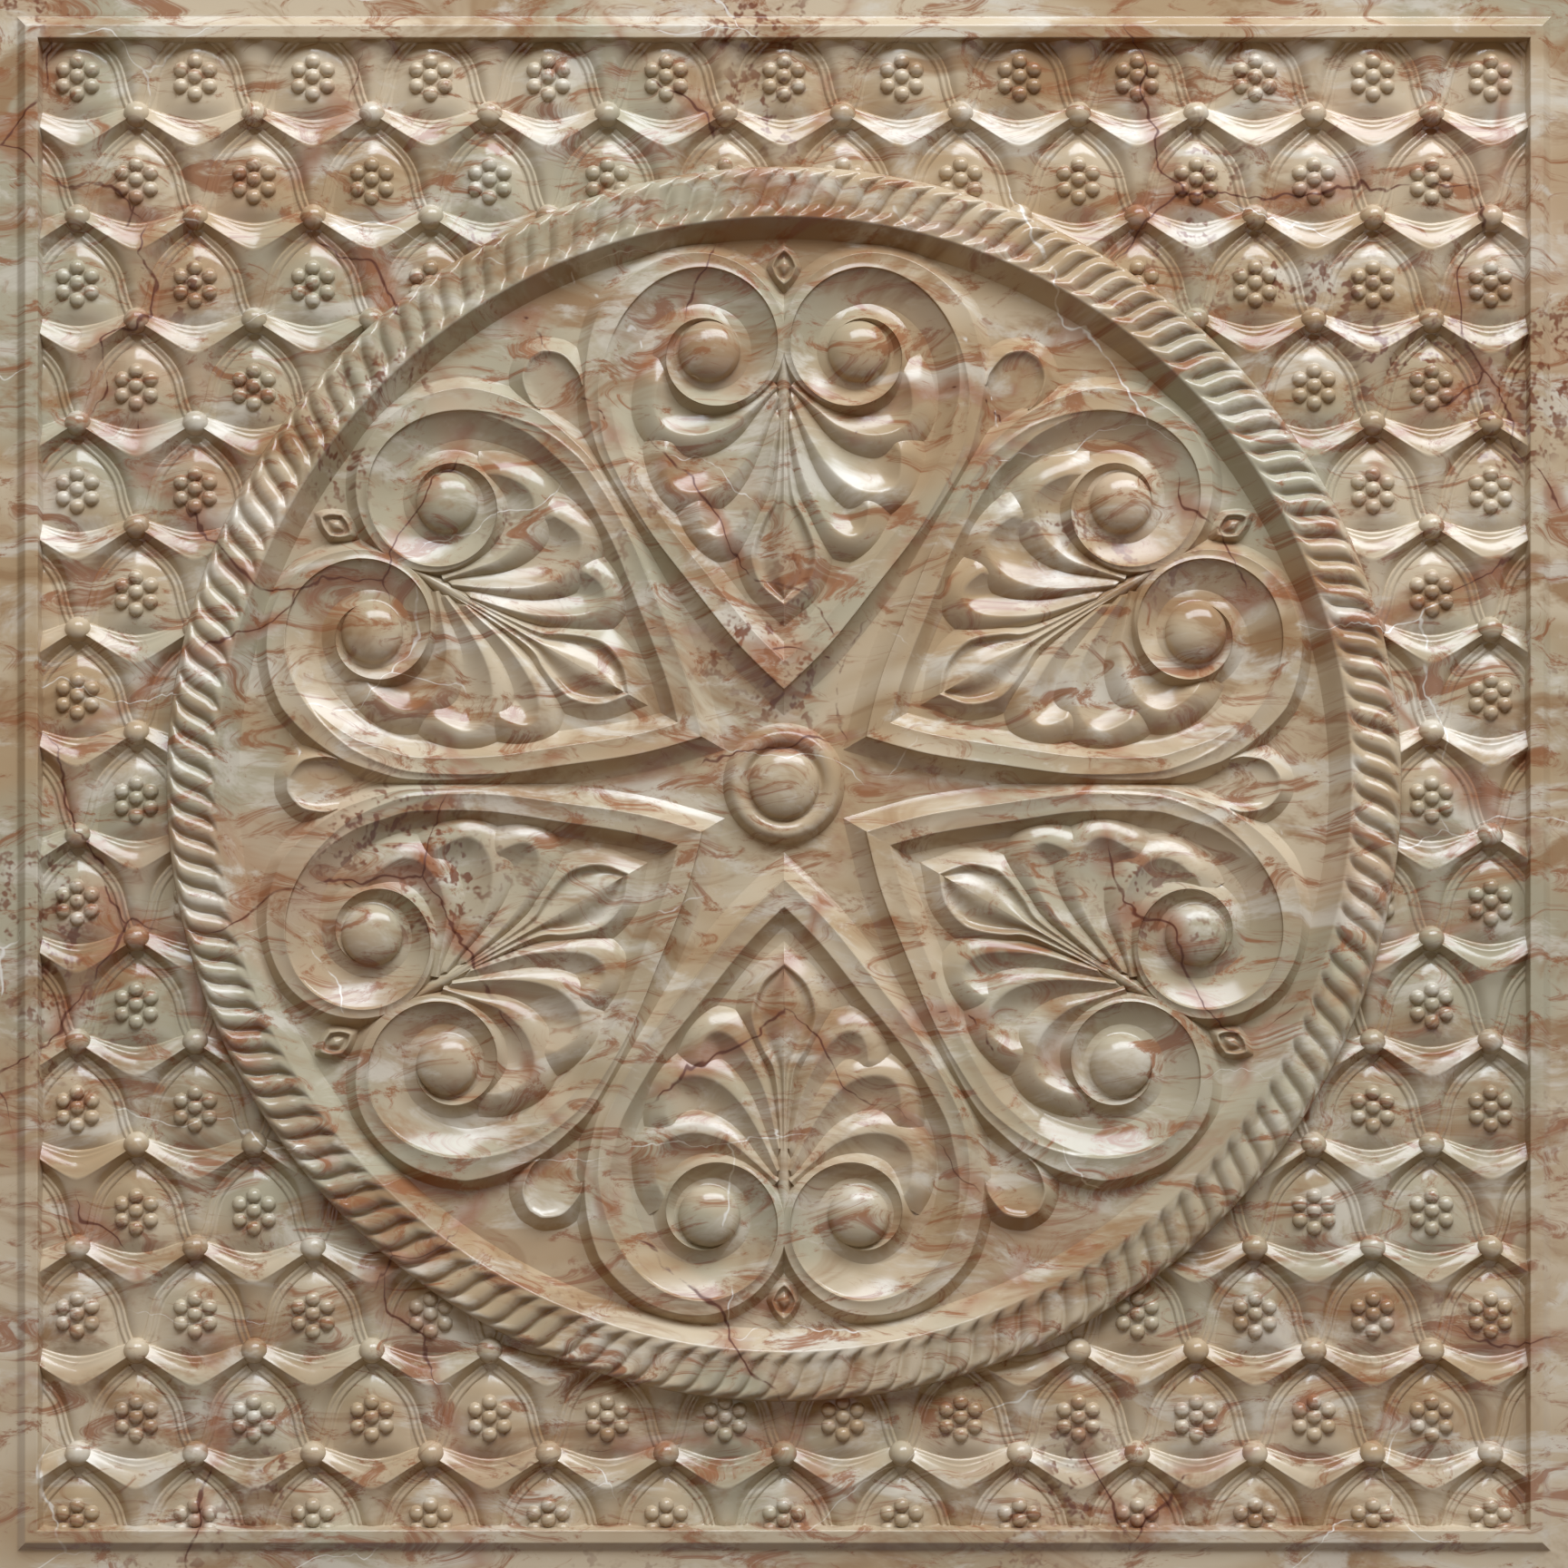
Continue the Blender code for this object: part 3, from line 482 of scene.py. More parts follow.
def swag():
    """One swag from bead to bead, with the stem that hangs from its middle down to the next row's bead.

    Its upper edge sags as one cosine wave, to a power, and its crest follows a hyperbola, straight from each
    bead to a rounded point. Between them the face rises as a power of the share, with two fine grooves in it.
    Below the crest the level falls as a square to the stem's, and rounds off as a parabola beside the arches.
    """
    across = np.linspace(0, BEAD_PITCH, SWAG_COLUMNS)
    wave = ((1 - np.cos(2 * math.pi * across / BEAD_PITCH)) / 2)[:, None]
    beside_bead = np.minimum(across, BEAD_PITCH - across)[:, None]
    top = SWAG_TOP_START + (SWAG_TOP_SAG - SWAG_TOP_START) * wave**SWAG_TOP_POWER
    to_middle = SWAG_CREST_SLOPE * (BEAD_PITCH / 2 - beside_bead)
    crest = SWAG_CREST_MIDDLE + SWAG_CREST_BEND - np.hypot(to_middle, SWAG_CREST_BEND)
    arch = np.vstack([(0, BEAD_RADIUS), spline(ARCH_RIDGE, SWAG_ARCH_STEPS)])
    run = np.interp(beside_bead, arch[:, 0], arch[:, 1]) - crest
    share = np.array(SWAG_FACE_PLACES)
    groove = sum(np.exp(-(((share - place) / SWAG_GROOVE_WIDTH) ** 2)) for place in SWAG_GROOVE_PLACES)
    face = SWAG_TOP_RISE + (SWAG_CREST_RISE - SWAG_TOP_RISE) * share**SWAG_SCOOP
    face[0] = 0
    face = face - SWAG_GROOVE * groove * wave
    fall = np.array(SWAG_FLANK_PLACES)
    above_stem = (1 - np.clip(run * fall / FLANK_RUN, 0, 1)) ** 2
    flank = STEM_RISE - STEM_FALL * fall + (SWAG_CREST_RISE - STEM_RISE) * above_stem
    below = np.stack([beside_bead + 0 * fall, crest + run * fall], axis=-1)
    side = np.clip(distance_to(arch, below) / STEM_SIDE, 0, 1)
    flank = flank * (1 - (1 - side) ** 2) - FLANK_SINK * fall
    down = np.hstack([top + (crest - top) * share, crest + run * fall])
    level = FIELD_DEPTH + np.hstack([face, flank])
    level = level - SWAG_ROUNDING * np.exp(-(((down - crest) / SWAG_ROUNDING_WIDTH) ** 2))
    return strip(np.stack([across[:, None] + 0 * down, -down, level], axis=-1), FIELD_DEPTH - SINK)


def arch_ridges():
    """The two fine ridges that run side by side from a bead down to the next row's, as one profile."""
    path = spline(np.array(ARCH_RIDGE) * (1, -1), ARCH_STEPS)
    offset = np.array(ARCH_SECTION) * MM
    rise = np.array(ARCH_SECTION_RISE) * ARCH_RIDGE_RISE
    lines = np.stack([beside(path, step) for step in offset], axis=1)
    level = np.broadcast_to(FIELD_DEPTH + rise, lines.shape[:2])[..., None]
    return strip(np.concatenate([lines, level], axis=2), FIELD_DEPTH - SINK)


def arch_half_width(depth):
    """Half the scale's width at a depth below its arch's point: 1 minus an exponential, to a power."""
    return ARCH_HALF_WIDTH * (1 - np.exp(-depth / ARCH_RUN)) ** ARCH_CURVE


def pillow_level(depth, share):
    """The rounded scale's level, at a depth below its arch's point and a share of the half width there.

    Across, it is a parabola. It swells from the arch's point and falls again towards the swag below it.
    """
    rising = np.sin(np.clip(depth / PILLOW_RUN, 0, 1) * math.pi / 2)
    swell = rising * (1 - PILLOW_FALL_SHARE * smooth((depth - PILLOW_LENGTH + PILLOW_FALL) / PILLOW_FALL))
    return FIELD_DEPTH + PILLOW_EDGE_RISE + PILLOW_RISE * (1 - share**2) * swell


def pillow():
    """The rounded scale inside an arch, with its rows closer together near the arch's point."""
    depth = np.linspace(0.02, 1, PILLOW_ROWS)[:, None] ** PILLOW_CROWDING * PILLOW_LENGTH
    share = np.sin(np.linspace(-1, 1, PILLOW_COLUMNS) * math.pi / 2)[None]
    return strip(np.stack([
        arch_half_width(depth) * share, -(ARCH_TOP_DROP + depth) + 0 * share, pillow_level(depth, share),
    ], axis=-1), FIELD_DEPTH - SINK)


def rosette():
    """Little domes on the pillow, one in the middle and six round it, each a quarter ellipse, revolved."""
    share = np.array([0, 0.35, 0.65, 0.88, 1.0])
    centres = [(0.0, ROSETTE_MIDDLE)] + [
        (ROSETTE_REACH * math.sin(turn), ROSETTE_REACH * math.cos(turn))
        for turn in np.arange(PETALS) / PETALS * 2 * math.pi
    ]
    parts = []
    for across, along in centres:
        depth = ROSETTE_DROP - along - ARCH_TOP_DROP
        foot = pillow_level(depth, across / arch_half_width(depth)) - PETAL_SINK
        level = foot + (PETAL_RISE + PETAL_SINK) * np.sqrt(1 - share**2)
        dome = revolved(share * PETAL_RADIUS, level, sides=10, base=FIELD_DEPTH - SINK)
        parts.append(repeated(dome, np.eye(2)[None], np.array([[across, along - ROSETTE_DROP]])))
    return Shape(*joined(parts))


def bead():
    """The bead where two swags meet: a quarter circle revolved on a low neck."""
    share = np.sin(np.linspace(0, 1, 8) * math.pi / 2)
    level = FIELD_DEPTH + BEAD_BASE_RISE + BEAD_DOME * np.sqrt(1 - share**2)
    return revolved(share * BEAD_RADIUS, level, sides=24, base=FIELD_DEPTH - SINK)


def in_field(shape, mirror=1):
    """A copy of the shape for every bead of the lattice that isn't wholly under the ring or the moulding.

    Points that would show beyond the ring or the moulding are drawn back under it.
    """
    columns = np.arange(-COLUMNS_ASIDE, COLUMNS_ASIDE + 1)
    row, column = np.meshgrid(np.arange(-1, ROWS + 1), columns, indexing="ij")
    nodes = np.stack([
        (column + (row + 1) % 2 / 2) * BEAD_PITCH, ((ROWS - 1) / 2 - row) * ROW_PITCH,
    ], axis=-1).reshape(-1, 2)
    turns = np.broadcast_to(np.diag([mirror, 1.0]), (len(nodes), 2, 2))
    places = shape.copies(turns, nodes)
    inner, edge = RING_RADIUS - TUCK, PANEL_WIDTH / 2 - BORDER_WIDTH + TUCK / 2
    radius = np.hypot(places[..., 0], places[..., 1])
    outside = (np.abs(places[..., 0]) > edge) | (np.abs(places[..., 1]) > edge)
    shown = ~((radius < inner) | outside).all(axis=1)
    places, radius = places[shown], radius[shown]
    places[..., :2] *= np.maximum(1, inner / np.maximum(radius, MM))[..., None]
    places[..., :2] = np.clip(places[..., :2], -edge, edge)
    return places.reshape(-1, 3), shape.groups_of(turns[shown], shown.sum())


# Rope ring

def rope_ring():
    """The ring: one profile carried round the circle, up the inner wall, over the rope and down to the field.

    Each strand is a parabola of its phase, which slides with the radius along an S. It sinks at both ends.
    """
    share = np.concatenate([[0, 0.03], np.linspace(0.08, 0.92, 15), [0.97, 1.0]])
    bend = (1 - STRAND_BEND) * share + STRAND_BEND * ((2 * share - 1) ** 3 + 1) / 2
    slide = STRAND_LEAN * (1 - bend)
    phase = np.tile(np.arange(STRAND_STEPS) / STRAND_STEPS, ROPE_STRANDS)[:, None]
    strand_number = np.repeat(np.arange(ROPE_STRANDS), STRAND_STEPS)[:, None]
    turn = (strand_number + phase - slide) / ROPE_STRANDS * 2 * math.pi
    ends = smooth(share / STRAND_END_INSIDE) * smooth((1 - share) / STRAND_END_OUTSIDE)
    strand = STRAND_RISE * (1 - np.abs(2 * phase - 1) ** 2) * ends
    rope = RING_CREST_LEVEL + (ROPE_LEVEL - RING_CREST_LEVEL) * smooth(share / ROPE_CREST_SHARE) + strand
    radius = GROUND_RADIUS + RING_WALL_RUN + ROPE_WIDTH * share + 0 * turn
    wall = np.array([0, 0.25, 0.5, 0.75, 0.93])
    wall_level = GROUND_DEPTH + (RING_CREST_LEVEL - GROUND_DEPTH) * wall
    wall_radius = GROUND_RADIUS + RING_WALL_RUN * wall
    foot_radius = np.array([RING_RADIUS - 0.5 * RING_FILLET, RING_RADIUS])
    foot_level = np.array([ROPE_LEVEL - RING_FOOT_DROP, FIELD_DEPTH - RING_FOOT_SINK])
    ones = np.ones((len(phase), 1))
    radius = np.hstack([ones * wall_radius, radius, ones * foot_radius])
    level = np.hstack([ones * wall_level, rope, ones * foot_level])
    turn = np.hstack([turn[:, :1] * np.ones(len(wall)), turn, turn[:, -1:] * np.ones(len(foot_radius))])
    top = np.stack([radius * np.sin(turn), radius * np.cos(turn), level], axis=-1)
    return strip(top, FIELD_DEPTH - SINK, around=True)


# Medallion

def volute_path(angle):
    """The strap's crest at degrees clockwise from the volute's top: a coil that opens into the arm."""
    unwound = np.maximum(angle, 0) / VOLUTE_START_ANGLE
    wound = np.maximum(1 + np.minimum(angle, 0) / VOLUTE_TURN, 0)
    radius = VOLUTE_END_RADIUS + (VOLUTE_RADIUS - VOLUTE_END_RADIUS) * wound**VOLUTE_COIL
    radius = radius + VOLUTE_SPREAD * unwound + VOLUTE_FLARE * unwound**4
    around = np.column_stack([np.sin(np.radians(angle)), np.cos(np.radians(angle))])
    return VOLUTE_CENTRE + radius[:, None] * around


def strap_side(side, band, slope, shares, falls):
    """The strap's lines on one side of its crest, each as an offset from it and a rise above the ground.

    The band is slightly dished from the crest down, and the slope below it falls as a power curve.
    """
    dished = STRAP_DISH * np.clip(band / DISHED_BAND, 0, 1)
    shoulder = STRAP_RISE - STRAP_BAND_DROP
    band_lines = [
        (side * band * share, STRAP_RISE - STRAP_BAND_DROP * share - dished * math.sin(math.pi * share))
        for share in shares
    ]
    slope_lines = [
        (side * (band + slope * fall),
         shoulder * max(1 - fall, 0) ** STRAP_SCOOP - (FOOT_SINK if fall > 1 else 0) + 0 * band)
        for fall in falls
    ]
    return band_lines + slope_lines


def strap():
    """Half a heart's strap: a profile carried up the arm and round the volute, mitred on the middle line."""
    turn = volute_path(np.linspace(VOLUTE_START_ANGLE, -VOLUTE_END_ANGLE, VOLUTE_STEPS))
    arm = spline(np.vstack([ARM, turn[:1]]), ARM_STEPS)
    path = np.vstack([arm[:-1], turn])
    travelled = np.append(0, np.cumsum(np.hypot(*np.diff(path, axis=0).T)))
    station = travelled / travelled[-1]
    even = np.linspace(0, 1, STRAP_STEPS)
    path = np.column_stack([np.interp(even, station, path[:, axis]) for axis in range(2)])
    band_outside, slope_outside, band_inside, slope_inside = (
        np.interp(even, STRAP_STATIONS, widths)
        for widths in (BAND_OUTSIDE, SLOPE_OUTSIDE, BAND_INSIDE, SLOPE_INSIDE)
    )
    inside = strap_side(-1, band_inside, slope_inside, BAND_LINES_INSIDE, SLOPE_LINES_INSIDE)
    outside = strap_side(1, band_outside, slope_outside, BAND_LINES_OUTSIDE, SLOPE_LINES_OUTSIDE)
    crest = [(0 * even, STRAP_RISE + 0 * even)]
    fade = 1 - STRAP_END_DROP * smooth((even - STRAP_END_START) / STRAP_END_SHARE)
    columns = []
    for offset, rise in inside[::-1] + crest + outside:
        line = np.column_stack([beside(path, offset), rise * fade])
        start = np.interp(0, line[:STRAP_MITRE_STEPS, 0], np.arange(STRAP_MITRE_STEPS))
        columns.append(along_path(line, start, STRAP_ROWS))
    return medallion_strip(np.stack(columns, axis=1))


def medallion_strip(grid):
    """A strip of the medallion, from shares of the ground's radius and the rise above the ground."""
    top = grid * (GROUND_RADIUS, GROUND_RADIUS, 1) + (0, 0, GROUND_DEPTH)
    return strip(top, GROUND_DEPTH - SINK)


def ruled(edge, spine, shares):
    """A grid of points between two equal lines, at these shares of the way from edge to spine."""
    share = np.asarray(shares)[None, :, None]
    return edge[:, None] * (1 - share) + spine[:, None] * share


def lobe(number):
    """A leaf's lobe: a rounded slope outside its lip, and inside it a dish that deepens as a quarter sine."""
    lip = spline(LOBES[number], LOBE_STEPS)
    even = np.linspace(0, 1, len(lip))
    if number == 0:
        spine = volute_path(np.linspace(*FIRST_LOBE_ANGLES, len(lip)))
    else:
        spine = spline(LOBES[number - 1], LOBE_STEPS)
        place = even * LOBE_REACH[number] * (len(lip) - 1)
        spine = np.column_stack([np.interp(place, np.arange(len(lip)), spine[:, axis]) for axis in range(2)])
    width = STEM_SLOPE + (LOBE_SLOPE - STEM_SLOPE) * smooth(even * 2)
    falls = np.array([1.04, 0.98, 0.88, 0.76, 0.62, 0.47, 0.32, 0.18, 0.07])
    outside = np.stack([beside(lip, width * fall) for fall in falls], axis=1)
    slope = LEAF_RISE * (1 - falls**LEAF_SLOPE_POWER) * np.ones((len(lip), 1))
    inside = ruled(lip, spine, (0, 0.04, 0.1, 0.18, 0.28, 0.4, 0.55, 0.75, 1.0))
    deepening = np.clip(distance_to(lip, inside) / LEAF_DISH_WIDTH, 0, 1)
    dish = LEAF_RISE - LEAF_DISH * np.sin(deepening * math.pi / 2)
    grid = np.concatenate([outside, inside], axis=1)
    sunk = 1 - LEAF_END_DROP * np.clip((even - LEAF_END_START) / LEAF_END_SHARE, 0, 1)
    level = np.hstack([slope, dish]) * sunk[:, None]
    return medallion_strip(np.concatenate([grid, level[..., None]], axis=2))


def tip_leaf():
    """Half of the pointed middle leaf, from its tip up: a slope to the lip, a groove and a bulge."""
    path = spline(TIP_LEAF, TIP_LEAF_STEPS)
    even = np.linspace(0, 1, len(path))
    falls = np.array([1.05, 0.95, 0.8, 0.6, 0.4, 0.2, 0.07, 0])
    narrow = TIP_LEAF_NARROW_SHARE * TIP_LEAF_SLOPE
    width = narrow + (TIP_LEAF_SLOPE - narrow) * smooth((1 - even) * 2)
    lines = [beside(path, width * fall) for fall in falls]
    steps = np.arange(2 * TIP_LEAF_STEPS)
    starts = [np.interp(0, line[steps, 0], steps) for line in lines]
    outside = np.stack([along_path(line, start, len(path)) for line, start in zip(lines, starts)], axis=1)
    lip = outside[:, -1]
    slope = TIP_LEAF_RISE * (1 - falls) * np.ones((len(lip), 1))
    spine = np.column_stack([0 * even, lip[:, 1] + TIP_LEAF_POINT * (1 - even) ** 4])
    shares = np.array([0.05, 0.12, 0.2, 0.3, 0.4, 0.5, 0.6, 0.7, 0.8, 0.9, 1.0])
    inside = ruled(lip, spine, shares)
    gap = distance_to(lip, inside) / TIP_LEAF_GROOVE
    groove = TIP_LEAF_RISE + (TIP_LEAF_GROOVE_RISE - TIP_LEAF_RISE) * smooth(gap)
    swell = smooth((shares - TIP_LEAF_BULGE_START) / (1 - TIP_LEAF_BULGE_START)) * smooth(gap)
    bulge = groove + (TIP_LEAF_BULGE_RISE - TIP_LEAF_GROOVE_RISE) * swell
    grid = np.concatenate([outside, inside], axis=1)
    return medallion_strip(np.concatenate([grid, np.hstack([slope, bulge])[..., None]], axis=2))


def stalk():
    """The stalk on the heart's middle line, fine at both ends: across, its level is a parabola."""
    along = np.linspace(STALK_TOP, STALK_TIP, 40)[:, None]
    share = np.linspace(-1, 1, 9)[None]
    place = (STALK_TOP - along) / (STALK_TOP - STALK_TIP)
    swelling = STALK_FOOT_WIDTH + (1 - STALK_FOOT_WIDTH) * smooth(place / STALK_SWELL)
    tapering = 1 - STALK_TAPER_SHARE * smooth((place - STALK_SWELL) / STALK_TAPER)
    rise = STALK_RISE * (1 - share**2) * (1 - STALK_DROP * place) - FOOT_SINK
    width = STALK_HALF_WIDTH * swelling * tapering
    return medallion_strip(np.stack([width * share, along + 0 * share, rise + 0 * along], axis=-1))


def spur():
    """The arched loop between two hearts, drawn on the line between them: a slope, a lip and a floor."""
    half = spline(SPUR, 8)
    lip = np.vstack([half * (-1, 1), half[-2::-1]])
    falls = np.array([1.05, 0.95, 0.8, 0.6, 0.4, 0.2, 0.07])
    outside = np.stack([beside(lip, -SPUR_SLOPE * fall) for fall in falls], axis=1)
    slope = SPUR_RISE * (1 - falls) * np.ones((len(lip), 1))
    spine = np.column_stack([
        np.linspace(-SPUR_FOOT_HALF_WIDTH, SPUR_FOOT_HALF_WIDTH, len(lip)), np.full(len(lip), SPUR_FOOT),
    ])
    inside = ruled(lip, spine, (0, 0.03, 0.07, 0.12, 0.2, 0.35, 0.6, 1.0))
    climb = np.clip((inside[..., 1] - SPUR_FOOT) / (SPUR[-1][1] - SPUR_FOOT), 0, 1)
    floor = SPUR_FLOOR_RISE * climb - SPUR_FLOOR_SINK
    dish = floor + (SPUR_RISE - floor) * np.exp(-distance_to(lip, inside) / SPUR_LIP)
    grid = np.concatenate([outside, inside], axis=1)
    return medallion_strip(np.concatenate([grid, np.hstack([slope, dish])[..., None]], axis=2))


def volute_boss():
    """The ball in the volute: a quarter ellipse revolved, on a low seat that slopes away under the coil."""
    share = np.sin(np.linspace(0, 1, 12) * math.pi / 2)
    ball = VOLUTE_SEAT_RISE + (VOLUTE_BOSS_RISE - VOLUTE_SEAT_RISE) * np.sqrt(1 - share**2)
    radius = np.append(share * VOLUTE_BOSS_RADIUS, (VOLUTE_SEAT_RADIUS, VOLUTE_SEAT_FOOT)) * GROUND_RADIUS
    level = GROUND_DEPTH + np.append(ball, (VOLUTE_SEAT_RISE, -SEAT_SINK))
    return revolved(radius, level, sides=40, base=GROUND_DEPTH - SINK)


def bud():
    """The pointed bud at the heart's top: a ridge that follows its outline round a groove and a small drop.

    The outline is the mean of a lozenge and an ellipse.
    """
    angle = np.arange(BUD_SIDES) / BUD_SIDES * 2 * math.pi
    across, along = np.sin(angle) / BUD_HALF_WIDTH, np.cos(angle) / BUD_HALF_LENGTH
    outline = (1 / (np.abs(across) + np.abs(along)) + 1 / np.hypot(across, along)) / 2
    share = np.array([0, 0.12, 0.22, 0.32, 0.42, 0.5, 0.58, 0.64, 0.70, 0.8, 0.9, 1.0])
    rise = np.interp(share, BUD_PLACES, BUD_PLACE_RISES) * BUD_RISE
    return revolved(share * GROUND_RADIUS, GROUND_DEPTH + rise, BUD_SIDES, GROUND_DEPTH - SINK, outline)


def centre_boss():
    """The boss in the middle: a dome, a groove and a rounded ring, revolved."""
    share = np.linspace(0, 1, 10)
    dome_radius = BOSS_GROOVE * np.sin(share * math.pi / 2) * BOSS_DOME_SHARE
    dome = BOSS_GROOVE_RISE + (BOSS_RISE - BOSS_GROOVE_RISE) * np.cos(share * math.pi / 2) ** BOSS_DOME_POWER
    ring_share = np.linspace(-1, 1, 13)
    half_width = np.where(ring_share < 0, BOSS_CREST - BOSS_GROOVE, BOSS_FOOT - BOSS_CREST)
    ring_radius = BOSS_CREST + half_width * ring_share
    low = np.where(ring_share < 0, BOSS_GROOVE_RISE, 0)
    ring = low + (BOSS_RING_RISE - low) * (1 - np.abs(ring_share) ** BOSS_RING_POWER)
    radius = np.append(dome_radius, ring_radius) * GROUND_RADIUS
    level = GROUND_DEPTH + np.append(dome, ring)
    return revolved(radius, level, sides=96, base=GROUND_DEPTH - SINK)


def ground():
    """The medallion's flat ground, revolved, running on a little under the ring."""
    radius = np.array([0, 0.5, 1.0]) * (GROUND_RADIUS + TUCK)
    return revolved(radius, np.full(3, GROUND_DEPTH), sides=180, base=FIELD_DEPTH - SINK)


def heart_turns(number, mirrored=(1, -1), half_step=0.0):
    """The matrices that turn a shape drawn at the top to this heart's place, one for each side given."""
    turn = 2 * math.pi * (number + half_step) / HEARTS
    matrix = np.array([(math.cos(turn), math.sin(turn)), (-math.sin(turn), math.cos(turn))])
    return np.array([matrix @ np.diag([side, 1.0]) for side in mirrored])


# Marble

def add_node(tree, kind, **inputs):
    """A node of the tree. Each input is a value, or the output socket that it is linked to."""
    node = tree.nodes.new(kind)
    for name, value in inputs.items():
        if hasattr(node, name):
            setattr(node, name, value)
            continue
        key = int(name[1:]) if name[0] == "_" else name.replace("_", " ")
        if isinstance(value, bpy.types.NodeSocket):
            tree.links.new(value, node.inputs[key])
        else:
            node.inputs[key].default_value = value
    return node


def new_group(name, wanted):
    """An empty node group with a Vector input, the wanted inputs and the output Gap, a distance."""
    tree = bpy.data.node_groups.new(name, "ShaderNodeTree")
    for label, kind in {"Vector": "NodeSocketVector", **wanted}.items():
        tree.interface.new_socket(label, in_out="INPUT", socket_type=kind)
    tree.interface.new_socket("Gap", in_out="OUTPUT", socket_type="NodeSocketFloat")
    return tree, tree.nodes.new("NodeGroupInput").outputs, tree.nodes.new("NodeGroupOutput").inputs["Gap"]


def wandered(tree, vector, scale, amount):
    """The vector moved by a noise of this scale, up to half the amount each way."""
    noise = add_node(tree, "ShaderNodeTexNoise", noise_dimensions="2D", Vector=vector, Scale=scale,
                     Detail=1.0)
    centred = add_node(tree, "ShaderNodeVectorMath", operation="SUBTRACT", _0=noise.outputs["Color"],
                       _1=(0.5, 0.5, 0.5))
    return add_node(tree, "ShaderNodeVectorMath", operation="MULTIPLY_ADD", _0=centred.outputs[0],
                    _1=(amount,) * 3, _2=vector).outputs[0]


def crack_group():
    """How far a point is from random cells' edges, and farther where a noise is low, so that lines end."""
    number = "NodeSocketFloat"
    tree, given, gap = new_group("hairlines", {"Scale": number, "Amount": number, "Patch": number})
    cells = add_node(tree, "ShaderNodeTexVoronoi", voronoi_dimensions="2D", feature="DISTANCE_TO_EDGE",
                     Vector=given["Vector"], Scale=given["Scale"]).outputs["Distance"]
    size = add_node(tree, "ShaderNodeMath", operation="DIVIDE", _0=cells, _1=given["Scale"]).outputs[0]
    patches = add_node(tree, "ShaderNodeTexNoise", noise_dimensions="2D", Vector=given["Vector"],
                       Scale=given["Patch"], Detail=1.0, Roughness=0.6).outputs[0]
    short = add_node(tree, "ShaderNodeMath", operation="SUBTRACT", _0=given["Amount"], _1=patches).outputs[0]
    away = add_node(tree, "ShaderNodeMath", operation="MAXIMUM", _0=short, _1=0.0).outputs[0]
    total = add_node(tree, "ShaderNodeMath", operation="MULTIPLY_ADD", _0=away, _1=HAIRLINE_END,
                     _2=size).outputs[0]
    tree.links.new(total, gap)
    return tree


def stroke_group():
    """How far a point is from the straight piece from Start to End."""
    tree, given, gap = new_group("stroke", {"Start": "NodeSocketVector", "End": "NodeSocketVector"})

    def vector(operation, first, second, output=0):
        node = add_node(tree, "ShaderNodeVectorMath", operation=operation, _0=first, _1=second)
        return node.outputs[output]

    run = vector("SUBTRACT", given["End"], given["Start"])
    offset = vector("SUBTRACT", given["Vector"], given["Start"])
    along = vector("DOT_PRODUCT", offset, run, 1)
    length = vector("DOT_PRODUCT", run, run, 1)
    share = add_node(tree, "ShaderNodeMath", operation="DIVIDE", use_clamp=True, _0=along,
                     _1=length).outputs[0]
    on_line = add_node(tree, "ShaderNodeVectorMath", operation="SCALE", _0=run, Scale=share).outputs[0]
    tree.links.new(vector("DISTANCE", offset, on_line, 1), gap)
    return tree


# How fast the distance from a hairline grows where a noise is low
HAIRLINE_END = 0.015
# Long veins and cracks, each as points across and up the face in millimetres from its middle
WHITE_VEINS = (
    ((-80, 190), (-22, 150)), ((46, 220), (88, 128)), ((-232, 214), (-160, 206)), ((168, -10), (228, -80)),
)
DARK_CRACKS = (
    ((22, 138), (66, 154), (98, 130)), ((-100, 178), (-66, 128)), ((-86, 62), (34, 44)),
    ((20, -78), (96, -104)), ((-246, 222), (-246, 118)),
)
# The marble's colours, and how far its veins, cracks and stains reach on each side of their lines
DEEP_BEIGE = (0.44, 0.31, 0.18, 1)
PALE_BEIGE = (0.58, 0.475, 0.335, 1)
OLIVE_GREY = (0.40, 0.37, 0.265, 1)
BROWN = (0.32, 0.19, 0.095, 1)
PINKISH_BROWN = (0.50, 0.345, 0.225, 1)
CREAM = (0.66, 0.61, 0.52, 1)
RUST = (0.29, 0.115, 0.05, 1)
SPECKLE = (0.17, 0.05, 0.025, 1)
STAIN = (0.32, 0.12, 0.05, 1)
VEIN_WHITE = (0.82, 0.79, 0.73, 1)
CRACK_BROWN = (0.11, 0.028, 0.014, 1)
STAIN_REACH = 9.0 * MM
VEIN_EDGE, VEIN_CORE = 0.7 * MM, 0.15 * MM
CRACK_EDGE, CRACK_CORE = 0.75 * MM, 0.2 * MM
# The polish's roughness, and what the mottle and the cracks add to it
POLISH_ROUGHNESS = 0.14
MOTTLE_ROUGHNESS = 0.08
CRACK_ROUGHNESS = 0.3


